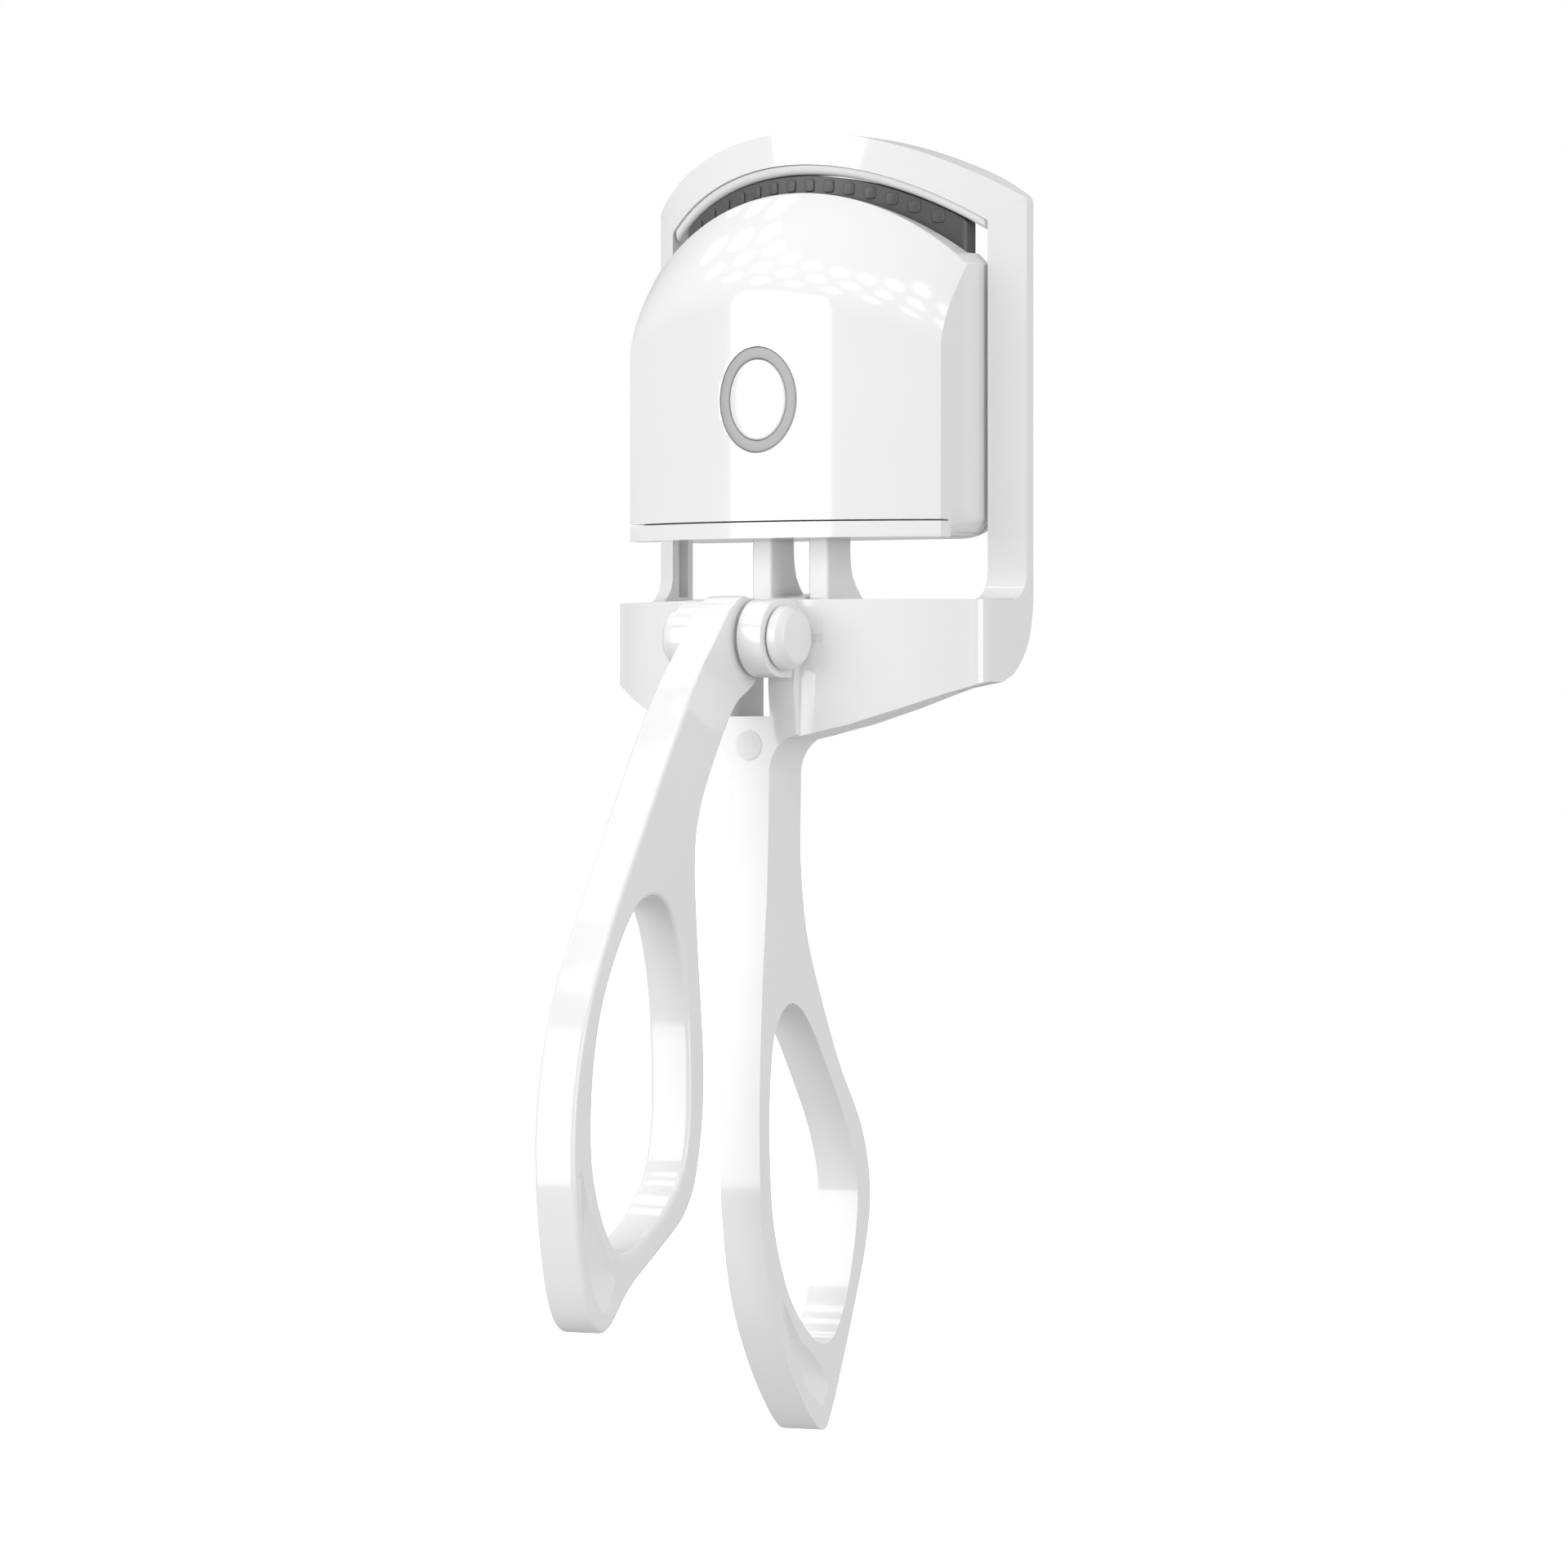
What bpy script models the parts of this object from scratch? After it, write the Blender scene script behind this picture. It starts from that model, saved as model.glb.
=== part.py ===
"""Heated eyelash curler.

A white clamp frame carries the upper jaw on two guide posts and ends below in a fixed finger loop. A
lever handle turns on a pin in front of the frame. Its short rear arm lifts a heated head along the
posts until the head's comb meets the silicone pad under the upper jaw. The model stands with the jaw
up, at rest with the jaw closed and the handles apart.

All sizes below are millimetres, in working axes: X across the jaw with 0 in the middle, Y from the
button side (minus) to the eye side (plus), Z up. The assembly's parent empty moves the whole object so
that the centre of its box is the origin.
"""
import math

import bmesh
import bpy
import numpy as np

MM = 0.001
GAP = 0.3  # clearance between solids that rest on each other

# Frame: upper jaw, posts and yoke
FRAME_HALF = 19.9
POST_INNER = 17.1
FRAME_BACK = 10.8
JAW_TOP = 59.2
JAW_TOP_RADIUS = 35.0
SOFFIT_TOP = 56.3
SOFFIT_RADIUS = 30.0
SOFFIT_CENTRE_Z = SOFFIT_TOP - SOFFIT_RADIUS
JAW_PLAN_RADIUS = 30.0
JAW_FRONT = 2.1
JAW_BACK = 7.0
JAW_BACK_RADIUS = 38.0
JAW_END = 16.5
YOKE_TOP = 16.6
YOKE_FRONT = -5.7
YOKE_PLAN_RADIUS = 27.3
YOKE_BACK_RADIUS = 18.9
GROOVE_Y = (8.5, 10.0)
GROOVE_DEPTH = 1.0
GROOVE_Z = (17.3, 47.0)
PLATE_FRONT = -5.8
PLATE_HALF = 5.05
FLANK_RADIUS = 3.5
SLOT_HALF = 2.2
SLOT_BOTTOM = 6.1
BUMPER_Z = 3.5
BUMPER_RADIUS = 1.35

# Silicone pad in the upper jaw, and the comb that meets it
PAD_RADIUS = 29.1
PAD_HALF = 15.6
PAD_FRONT = 3.4
PAD_WIDTH = 2.2
PAD_TALL = 1.8
LIP_HALF = 16.8
LIP_FRONT = 2.4
LIP_WIDTH = 4.2
LIP_TALL = 0.6
COMB_FRONT = 2.75
COMB_DEPTH = 1.9
COMB_HALF = 15.2
COMB_TALL = 5.0
TOOTH_PITCH = 2.0
TOOTH_COUNT = 14
TOOTH_WIDTH = 0.95
TOOTH_TALL = 1.1
TOOTH_PROUD = 0.25

# Lever and its pins
PIVOT_Y = -7.8
PIVOT_Z = 13.1
HANDLE_HALF = 2.15
LEVER_HEAD_HALF = 1.85
SHORT_ARM_HALF = 1.7
EAR_INNER = 2.3
EAR_OUTER = 4.8
EAR_RADIUS = 3.55
PIVOT_PIN_RADIUS = 1.25
PIVOT_HEAD_RADIUS = 2.9
PIVOT_HEAD_END = 6.6
PIVOT_CLEARANCE = 0.1
LINK_Y = 6.6
LINK_Z = 14.5
LINK_RADIUS = 1.0
LINK_SLOT_HALF = 1.2
LINK_SLOT_LONG = 0.9
LEVER_TAIL_RADIUS = 2.9

# Heated head
HEAD_HALF = 16.8
HEAD_BOTTOM = 22.2
SEAM_Z = 23.7
RIM_TOP = 53.7
RIM_RADIUS = 24.0
HEAD_FRONT = -4.56
HEAD_PLAN_RADIUS = 33.5
RIM_FRONT = 2.0
RIM_PLAN_RADIUS = 58.0
TOP_SLOPE_TALL = 10.0
TOP_SLOPE_SIDE_LOSS = 2.5
TOP_SLOPE_POWER = 1.6
SHELL_WALL = 1.2
SIDE_EDGE_Y = 4.15
SIDE_TAPER = 0.35
HEAD_BACK = 8.0
HEAD_BACK_SIDE = 10.6
CORNER_RADIUS = 2.8
REAR_EDGE_Y = 7.6
BUTTON_Z = 34.7
RING_HALF = (4.1, 4.75)
BUTTON_HALF = (3.0, 3.65)
BUTTON_TRAVEL = 0.3
SOCKET_Z = 31.0
ARM_INNER = 2.0
ARM_OUTER = 4.1
ARM_FRONT = 1.0
ARM_BACK = 4.9

WHITE = (0.93, 0.93, 0.93)
WHITE_SILICONE = (0.86, 0.86, 0.85)
PIN_WHITE = (0.90, 0.90, 0.90)
RING_GREY = (0.55, 0.55, 0.55)
COMB_GREY = (0.09, 0.09, 0.09)
CERAMIC = (0.80, 0.78, 0.72)
BATTERY_SILVER = (0.62, 0.63, 0.65)
BOARD_GREEN = (0.04, 0.22, 0.10)
STEEL = (0.60, 0.60, 0.61)
CARRIER_GREY = (0.25, 0.25, 0.26)


def material(name, colour, roughness, metallic=0.0):
    made = bpy.data.materials.new(name)
    made.use_nodes = True
    shader = made.node_tree.nodes["Principled BSDF"]
    shader.inputs["Base Color"].default_value = (*colour, 1.0)
    shader.inputs["Roughness"].default_value = roughness
    shader.inputs["Metallic"].default_value = metallic
    return made


def add_object(name, build):
    """A new object whose mesh is what build() puts into a bmesh, in millimetres."""
    shape = bmesh.new()
    build(shape)
    bmesh.ops.recalc_face_normals(shape, faces=shape.faces)
    bmesh.ops.scale(shape, vec=(MM, MM, MM), verts=shape.verts)
    mesh = bpy.data.meshes.new(name)
    shape.to_mesh(mesh)
    shape.free()
    made = bpy.data.objects.new(name, mesh)
    bpy.context.collection.objects.link(made)
    return made


def prism(name, outline, axis, low, high):
    """The outline extruded along an axis; its points are the other two coordinates in X, Y, Z order."""

    def point(pair, along):
        values = list(pair)
        values.insert("XYZ".index(axis), along)
        return values

    def build(shape):
        ends = [[shape.verts.new(point(pair, along)) for pair in outline] for along in (low, high)]
        count = len(outline)
        for i in range(count):
            j = (i + 1) % count
            shape.faces.new((ends[0][i], ends[0][j], ends[1][j], ends[1][i]))
        for end in ends:
            shape.faces.new(end)

    return add_object(name, build)


def box(name, low, high):
    outline = [(low[0], low[1]), (high[0], low[1]), (high[0], high[1]), (low[0], high[1])]
    return prism(name, outline, "Z", low[2], high[2])


def rod(name, y, z, radius, low, high, sides=24):
    """A round bar along X."""
    return prism(name, circle(y, z, radius, sides), "X", low, high)


def circle(x, y, radius, sides):
    turns = [2.0 * math.pi * i / sides for i in range(sides)]
    return [(x + radius * math.cos(t), y + radius * math.sin(t)) for t in turns]


def oval(z, half, sides=36):
    turns = [2.0 * math.pi * i / sides for i in range(sides)]
    return [(half[0] * math.cos(t), z + half[1] * math.sin(t)) for t in turns]


def smooth_loop(points, steps=4):
    """A closed Catmull-Rom curve through the points."""
    knots = [np.array(p, float) for p in points]
    count = len(knots)
    curve = []
    for i in range(count):
        a, b, c, d = (knots[(i + k) % count] for k in (-1, 0, 1, 2))
        for s in range(steps):
            t = s / steps
            bend = (2 * a - 5 * b + 4 * c - d) * t**2 + (3 * b - a - 3 * c + d) * t**3
            curve.append(tuple(0.5 * (2 * b + (c - a) * t + bend)))
    return curve


def boolean(target, tool, operation):
    """Joins, cuts or intersects target with tool, and removes tool."""
    step = target.modifiers.new(operation, "BOOLEAN")
    step.operation = operation
    step.solver = "EXACT"
    step.object = tool
    bpy.context.view_layer.update()
    graph = bpy.context.evaluated_depsgraph_get()
    result = bpy.data.meshes.new_from_object(target.evaluated_get(graph))
    target.modifiers.clear()
    target.data = result
    bpy.data.objects.remove(tool)
    return target


def join(target, *tools):
    for tool in tools:
        boolean(target, tool, "UNION")
    return target


def cut(target, *tools):
    for tool in tools:
        boolean(target, tool, "DIFFERENCE")
    return target


def common(target, *tools):
    for tool in tools:
        boolean(target, tool, "INTERSECT")
    return target


def bowed(front, radius):
    """Y of a plan arc at x: front in the middle, curving back towards both ends."""
    return lambda x: front + radius - math.sqrt(radius**2 - x**2)


def plan_band(front, back, half, steps=20):
    """A plan outline between two curves y(x)."""
    across = np.linspace(-half, half, steps + 1)
    return [(x, front(x)) for x in across] + [(x, back(x)) for x in across[::-1]]


def arch_band(centre_z, inner, outer, half, steps=20):
    """An elevation outline between two concentric arcs, cut off at plus and minus half."""
    across = np.linspace(-half, half, steps + 1)
    low = [(x, centre_z + math.sqrt(inner**2 - x**2)) for x in across]
    high = [(x, centre_z + math.sqrt(outer**2 - x**2)) for x in across[::-1]]
    return low + high


jaw_front = bowed(JAW_FRONT, JAW_PLAN_RADIUS)
jaw_rear_arc = bowed(JAW_BACK, JAW_BACK_RADIUS)
yoke_front = bowed(YOKE_FRONT, YOKE_PLAN_RADIUS)
head_plan = bowed(HEAD_FRONT, HEAD_PLAN_RADIUS)
rim_plan = bowed(RIM_FRONT, RIM_PLAN_RADIUS)
parting = bowed(RIM_FRONT + GAP, JAW_PLAN_RADIUS)  # where the front shell ends and the rear shell begins


def jaw_back(x):
    """Y of the jaw's rear face, which meets the posts' rear at both ends."""
    if abs(x) >= JAW_END:
        return FRAME_BACK
    return min(FRAME_BACK, jaw_rear_arc(x))


def head_back(x):
    return HEAD_BACK + (HEAD_BACK_SIDE - HEAD_BACK) * (x / HEAD_HALF) ** 2


def rim_height(x):
    """Z of the head's top rim."""
    return RIM_TOP - RIM_RADIUS + math.sqrt(RIM_RADIUS**2 - x**2)


def make_frame():
    outer_z = JAW_TOP - JAW_TOP_RADIUS
    across = np.linspace(-FRAME_HALF, FRAME_HALF, 25)
    outer = [(x, outer_z + math.sqrt(JAW_TOP_RADIUS**2 - x**2)) for x in across]
    across = np.linspace(POST_INNER, -POST_INNER, 21)
    inner = [(x, SOFFIT_CENTRE_Z + math.sqrt(SOFFIT_RADIUS**2 - x**2)) for x in across]
    foot = YOKE_TOP - 2.0
    hoop = [(-FRAME_HALF, foot), *outer, (FRAME_HALF, foot), (POST_INNER, foot), *inner, (-POST_INNER, foot)]
    frame = prism("frame", hoop, "Y", -2.0, 14.0)
    common(frame, prism("plan", plan_band(jaw_front, jaw_back, FRAME_HALF, 24), "Z", 0.0, 70.0))
    join(frame, make_yoke())
    behind = FRAME_BACK + 0.4
    rear = [(10.5, 14.4), (9.5, 12.0), (7.4, 9.9), (3.0, 8.6), (0.0, 5.0), (0.0, 2.0)]
    side_view = [(-9.0, 2.0), (-9.0, 70.0), (behind, 70.0), (behind, 18.0), *rear]
    common(frame, prism("side_view", side_view, "X", -25.0, 25.0))
    join(frame, make_fixed_handle())
    for side in (-1, 1):
        reach = sorted((side * EAR_INNER, side * EAR_OUTER))
        join(frame, prism("ear", ear_outline(), "X", *reach))
    cut(frame, box("slot", (-SLOT_HALF, -14.0, SLOT_BOTTOM), (SLOT_HALF, 4.0, 20.0)))
    cut(frame, rod("pivot_hole", PIVOT_Y, PIVOT_Z, PIVOT_PIN_RADIUS + PIVOT_CLEARANCE, -8.0, 8.0))
    for side in (-1, 1):
        reach = sorted((side * EAR_OUTER, side * (PIVOT_HEAD_END + 0.6)))
        cut(frame, rod("head_room", PIVOT_Y, PIVOT_Z, PIVOT_HEAD_RADIUS + GAP, *reach))
        reach = sorted((side * (POST_INNER - 1.0), side * (POST_INNER + GROOVE_DEPTH)))
        cut(frame, box("groove", (reach[0], GROOVE_Y[0], GROOVE_Z[0]), (reach[1], GROOVE_Y[1], GROOVE_Z[1])))
    pad_room = arch_band(SOFFIT_CENTRE_Z, SOFFIT_RADIUS - 1.5, PAD_RADIUS + PAD_TALL + GAP, PAD_HALF + GAP)
    room = prism("pad_room", pad_room, "Y", -2.0, 14.0)
    front = bowed(PAD_FRONT - GAP, JAW_PLAN_RADIUS)
    back = bowed(PAD_FRONT + PAD_WIDTH + GAP, JAW_PLAN_RADIUS)
    common(room, prism("plan", plan_band(front, back, PAD_HALF + GAP), "Z", 0.0, 70.0))
    cut(frame, room)
    bumper_room = circle(0.0, BUMPER_Z, BUMPER_RADIUS + 0.1, 20)
    cut(frame, prism("bumper_hole", bumper_room, "Y", -8.0, PLATE_FRONT + 1.2))
    return frame


def ear_outline():
    """Side view of one pivot ear: a round end that runs back into the yoke."""
    turns = np.linspace(0.5 * math.pi, 1.5 * math.pi, 13)
    nose = [(PIVOT_Y + EAR_RADIUS * math.cos(t), PIVOT_Z + EAR_RADIUS * math.sin(t)) for t in turns]
    return [*nose, (-3.0, PIVOT_Z - EAR_RADIUS), (-3.0, PIVOT_Z + EAR_RADIUS - 0.1)]


def make_yoke():
    """The thick cross-piece under the posts: bowed in plan, deepest in the middle."""
    under = [(3.0, 3.9), (5.5, 4.4), (9.5, 5.35), (13.6, 6.75), (17.0, 8.1), (FRAME_HALF, 9.2)]
    right = [*under, (FRAME_HALF, YOKE_TOP)]
    outline = right + [(-x, z) for x, z in right[::-1]]
    yoke = prism("yoke", outline, "Y", -8.0, 12.0)
    reach = FRAME_HALF - 1.0
    back = bowed(0.0, YOKE_BACK_RADIUS)
    front = [(x, yoke_front(x)) for x in np.linspace(-reach, reach, 21)]
    hollow = [(x, back(x)) for x in np.linspace(POST_INNER, -POST_INNER, 17)]
    ends = [(FRAME_HALF, yoke_front(reach) + 1.3), (FRAME_HALF, FRAME_BACK), (POST_INNER, FRAME_BACK)]
    plan = [*front, *ends, *hollow, *[(-x, y) for x, y in ends[::-1]]]
    return common(yoke, prism("plan", plan, "Z", 0.0, 20.0))


def make_fixed_handle():
    """A flat blade with a leaf-shaped finger loop, and the plate that spreads it into the yoke."""
    blade_points = [
        (-5.8, 10.6), (-5.8, 5.0), (-5.8, 0.0), (-6.1, -9.0), (-6.9, -19.0), (-7.35, -29.0),
        (-7.1, -38.0), (-5.7, -45.8), (-3.0, -51.8), (0.6, -56.8), (3.2, -58.7), (4.6, -57.2),
        (6.3, -53.3), (8.4, -48.0), (10.5, -42.0), (11.2, -37.0), (9.8, -31.4), (6.0, -25.4),
        (2.8, -19.1), (0.5, -13.4), (-0.5, -7.0), (-0.5, 0.0), (-0.4, 5.0), (-1.0, 10.6),
    ]
    hole_points = [
        (-2.9, -20.1), (-4.8, -22.5), (-5.6, -28.0), (-5.6, -34.0), (-4.9, -40.0), (-2.7, -45.7),
        (0.3, -49.3), (3.0, -50.9), (5.2, -50.1), (7.2, -46.6), (8.8, -40.5), (8.9, -36.0),
        (7.3, -31.3), (4.4, -26.5), (1.3, -22.1), (-0.9, -20.1),
    ]
    handle = prism("handle", smooth_loop(blade_points, 3), "X", -PLATE_HALF, PLATE_HALF)
    turns = np.linspace(math.pi, 0.556 * math.pi, 7)
    flank_x = HANDLE_HALF + FLANK_RADIUS
    flank = [(flank_x + FLANK_RADIUS * math.cos(t), 1.0 + FLANK_RADIUS * math.sin(t)) for t in turns]
    right = [(HANDLE_HALF, -62.0), *flank, (PLATE_HALF, 11.5)]
    common(handle, prism("spread", right + [(-x, z) for x, z in right[::-1]], "Y", -20.0, 20.0))
    return cut(handle, prism("loop", smooth_loop(hole_points, 3), "X", -9.0, 9.0))


def make_lever():
    """The moving handle: leaf-shaped finger loop, round head on the pivot, short arm to the link pin."""
    blade_points = [
        (-8.6, 16.7), (-11.2, 16.0), (-13.6, 13.4), (-19.2, 6.8), (-25.4, -3.0), (-31.4, -13.0),
        (-34.9, -20.5), (-36.7, -28.0), (-36.9, -34.5), (-36.0, -41.6), (-34.6, -46.2), (-32.8, -48.0),
        (-30.9, -47.5), (-27.8, -44.3), (-23.2, -41.2), (-19.2, -38.2), (-17.1, -34.0), (-16.1, -26.0),
        (-17.1, -14.0), (-17.5, -6.8), (-16.6, -2.0), (-13.8, 3.1), (-11.0, 7.0), (-7.4, 9.3),
        (-5.2, 13.1),
    ]
    hole_points = [
        (-24.6, -9.9), (-27.2, -11.2), (-30.4, -15.7), (-32.7, -21.0), (-33.8, -27.0), (-33.8, -33.0),
        (-32.5, -37.5), (-30.3, -40.8), (-28.2, -41.1), (-25.6, -39.9), (-22.0, -37.3), (-19.7, -34.0),
        (-18.7, -28.5), (-19.1, -19.5), (-20.6, -13.2), (-22.4, -10.4),
    ]
    lever = prism("lever_handle", smooth_loop(blade_points, 3), "X", -HANDLE_HALF, HANDLE_HALF)
    cut(lever, prism("loop", smooth_loop(hole_points, 3), "X", -9.0, 9.0))
    waist = [(LEVER_HEAD_HALF, 30.0), (LEVER_HEAD_HALF, 8.6), (HANDLE_HALF + 0.05, 5.0)]
    waist += [(6.0, 5.0), (6.0, 30.0)]
    for side in (-1, 1):
        cut(lever, prism("waist", [(side * x, z) for x, z in waist], "Y", -30.0, 10.0))
    arm = [(PIVOT_Y, 16.4), (PIVOT_Y, 9.9), (-3.0, 9.7), (2.0, 10.2), (5.4, 11.75)]
    tail = np.linspace(-0.42 * math.pi, 0.56 * math.pi, 12)
    tail_y = LINK_Y + LINK_SLOT_LONG
    radius = LEVER_TAIL_RADIUS
    arm += [(tail_y + radius * math.cos(t), LINK_Z + radius * math.sin(t)) for t in tail]
    join(lever, prism("arm", arm, "X", -SHORT_ARM_HALF, SHORT_ARM_HALF))
    join(lever, rod("knuckle", PIVOT_Y, PIVOT_Z, EAR_RADIUS + 0.05, -LEVER_HEAD_HALF, LEVER_HEAD_HALF))
    cut(lever, rod("pivot_hole", PIVOT_Y, PIVOT_Z, PIVOT_PIN_RADIUS + PIVOT_CLEARANCE, -8.0, 8.0))
    cut(lever, prism("link_slot", link_slot(), "X", -8.0, 8.0))
    return lever


def link_slot():
    """The slot along the short arm that the link pin works in."""
    turns = np.linspace(0.5 * math.pi, 1.5 * math.pi, 9)
    arc = [(LINK_SLOT_HALF * math.cos(t), LINK_SLOT_HALF * math.sin(t)) for t in turns]
    near = [(LINK_Y - 0.15 + y, LINK_Z + z) for y, z in arc]
    far = [(LINK_Y + LINK_SLOT_LONG - y, LINK_Z - z) for y, z in arc]
    tilt = math.atan2(LINK_Z - PIVOT_Z, LINK_Y - PIVOT_Y)
    return [turned(point, tilt) for point in near + far]


def turned(point, angle):
    """A side-view point turned about the link pin's rest place."""
    y, z = point[0] - LINK_Y, point[1] - LINK_Z
    return (
        LINK_Y + y * math.cos(angle) - z * math.sin(angle),
        LINK_Z + y * math.sin(angle) + z * math.cos(angle),
    )


def head_front_y(x, z, inset=0.0):
    """Y of the head's face: bowed in plan, and sloping back to the rim near the top."""
    slope_tall = TOP_SLOPE_TALL - TOP_SLOPE_SIDE_LOSS * (x / HEAD_HALF) ** 2
    below_rim = min(max((rim_height(x) - inset - z) / slope_tall, 0.0), 1.0)
    retreat = rim_plan(x) - head_plan(x)
    return head_plan(x) + inset + retreat * (1.0 - below_rim) ** TOP_SLOPE_POWER


def head_blank(name, half, bottom, inset, columns=20, rows=12):
    """A solid with the head's bowed face in front and a flat back behind the parting."""
    across = [half * math.sin(0.5 * math.pi * s) for s in np.linspace(-1.0, 1.0, columns + 1)]
    heights = [0.0, *(0.45 + 0.55 * math.sin(0.5 * math.pi * i / (rows - 1)) for i in range(rows))]

    def build(shape):
        sheets = []
        for back in (False, True):
            sheet = []
            for x in across:
                top = rim_height(x) - inset
                levels = [bottom + (top - bottom) * h for h in heights]
                depths = [12.0 if back else head_front_y(x, z, inset) for z in levels]
                sheet.append([shape.verts.new((x, y, z)) for y, z in zip(depths, levels)])
            sheets.append(sheet)
        face, rear = sheets
        for sheet in sheets:
            for i in range(columns):
                for j in range(rows):
                    shape.faces.new((sheet[i][j], sheet[i + 1][j], sheet[i + 1][j + 1], sheet[i][j + 1]))
        for i in range(columns):
            for j in (0, rows):
                shape.faces.new((face[i][j], face[i + 1][j], rear[i + 1][j], rear[i][j]))
        for i in (0, columns):
            for j in range(rows):
                shape.faces.new((face[i][j], face[i][j + 1], rear[i][j + 1], rear[i][j]))

    return add_object(name, build)


def make_front_shell():
    shell = head_blank("front_shell", HEAD_HALF, SEAM_Z + 0.15, 0.0)
    cut(shell, head_blank("inside", HEAD_HALF - SHELL_WALL, SEAM_Z - 3.0, SHELL_WALL))
    behind = plan_band(parting, lambda x: 20.0, HEAD_HALF + 2.0)
    cut(shell, prism("behind", behind, "Z", 0.0, 70.0))
    for side in (-1, 1):
        taper = [(side * HEAD_HALF, SIDE_EDGE_Y), (side * (HEAD_HALF - SIDE_TAPER), 12.0)]
        taper += [(side * 25.0, 12.0), (side * 25.0, SIDE_EDGE_Y)]
        cut(shell, prism("taper", taper, "Z", 0.0, 70.0), rounded_corner(side))
    cut(shell, prism("ring_hole", oval(BUTTON_Z, [r + 0.1 for r in RING_HALF]), "Y", -8.0, 0.0))
    return shell


def rounded_corner(side):
    """What is cut off a rear lower corner of the head."""
    turns = np.linspace(0.0, -0.5 * math.pi, 6)
    centre = (HEAD_HALF - CORNER_RADIUS, HEAD_BOTTOM + CORNER_RADIUS)
    arc = [(centre[0] + CORNER_RADIUS * math.cos(t), centre[1] + CORNER_RADIUS * math.sin(t)) for t in turns]
    outline = [(side * x, z) for x, z in [*arc, (centre[0], 20.0), (22.0, 20.0), (22.0, centre[1])]]
    return prism("corner", outline, "Y", 1.7, 14.0)


def rounded_rear_edge():
    """What is cut off the head's lower rear edge."""
    turns = np.linspace(0.0, -0.5 * math.pi, 6)
    centre = (REAR_EDGE_Y, HEAD_BOTTOM + CORNER_RADIUS)
    arc = [(centre[0] + CORNER_RADIUS * math.cos(t), centre[1] + CORNER_RADIUS * math.sin(t)) for t in turns]
    return prism("rear_edge", [*arc, (centre[0], 20.0), (15.0, 20.0), (15.0, centre[1])], "X", -25.0, 25.0)


def head_elevation(half, bottom, drop):
    across = np.linspace(-half, half, 17)
    return [(-half, bottom), (half, bottom)] + [(x, rim_height(x) - drop) for x in across[::-1]]


def make_rear_shell():
    half = HEAD_HALF - SIDE_TAPER
    shell = prism("rear_shell", head_elevation(half, SEAM_Z + 0.15, 0.9), "Y", -2.0, 14.0)
    outer = plan_band(lambda x: parting(x) + GAP, head_back, half, 16)
    common(shell, prism("plan", outer, "Z", 0.0, 70.0))
    inner = plan_band(lambda x: -6.0, lambda x: head_back(x) - SHELL_WALL, half - SHELL_WALL, 16)
    room = prism("room", head_elevation(half - SHELL_WALL, SEAM_Z - 3.0, 2.3), "Y", -8.0, 14.0)
    common(room, prism("plan", inner, "Z", 0.0, 70.0))
    cut(shell, room)
    cut(shell, rounded_rear_edge())
    slot = plan_band(lambda x: -4.0, bowed(COMB_FRONT + COMB_DEPTH + GAP, JAW_PLAN_RADIUS), COMB_HALF + GAP)
    cut(shell, prism("comb_slot", slot, "Z", 43.5, 70.0))
    for side in (-1, 1):
        reach = sorted((side * (half - 0.6), side * (POST_INNER + GROOVE_DEPTH - 0.35)))
        cut(shell, rounded_corner(side))
        join(shell, box("tongue", (reach[0], GROOVE_Y[0] + 0.2, 26.0), (reach[1], GROOVE_Y[1] - 0.2, 41.5)))
    cut(shell, prism("socket_hole", oval(SOCKET_Z, (4.8, 1.95), 24), "Y", 5.0, 12.0))
    return shell


def make_bottom_cover():
    cover = head_blank("bottom_cover", HEAD_HALF, HEAD_BOTTOM, 0.0)
    cut(cover, box("above", (-30.0, -20.0, SEAM_Z - 0.15), (30.0, 20.0, 70.0)))
    behind = plan_band(head_back, lambda x: 20.0, HEAD_HALF + 2.0)
    cut(cover, prism("behind", behind, "Z", 0.0, 70.0), rounded_rear_edge())
    for side in (-1, 1):
        cut(cover, rounded_corner(side))
        reach = sorted((side * (ARM_INNER - GAP), side * (ARM_OUTER + GAP)))
        cut(cover, box("arm_hole", (reach[0], ARM_FRONT - GAP, 10.0), (reach[1], ARM_BACK + GAP, 40.0)))
        taper = [(side * HEAD_HALF, SIDE_EDGE_Y), (side * (HEAD_HALF - SIDE_TAPER), 12.0)]
        taper += [(side * 25.0, 12.0), (side * 25.0, SIDE_EDGE_Y)]
        cut(cover, prism("taper", taper, "Z", 0.0, 70.0))
    return cover


def arc_piece(name, front, depth, half, top_radius, tall, steps=20):
    """A bar that follows the jaw's arc in elevation and its bow in plan."""
    arch = arch_band(SOFFIT_CENTRE_Z, top_radius - tall, top_radius, half, steps)
    piece = prism(name, arch, "Y", -2.0, 14.0)
    plan = plan_band(bowed(front, JAW_PLAN_RADIUS), bowed(front + depth, JAW_PLAN_RADIUS), half, steps)
    return common(piece, prism("plan", plan, "Z", 0.0, 70.0))


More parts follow.
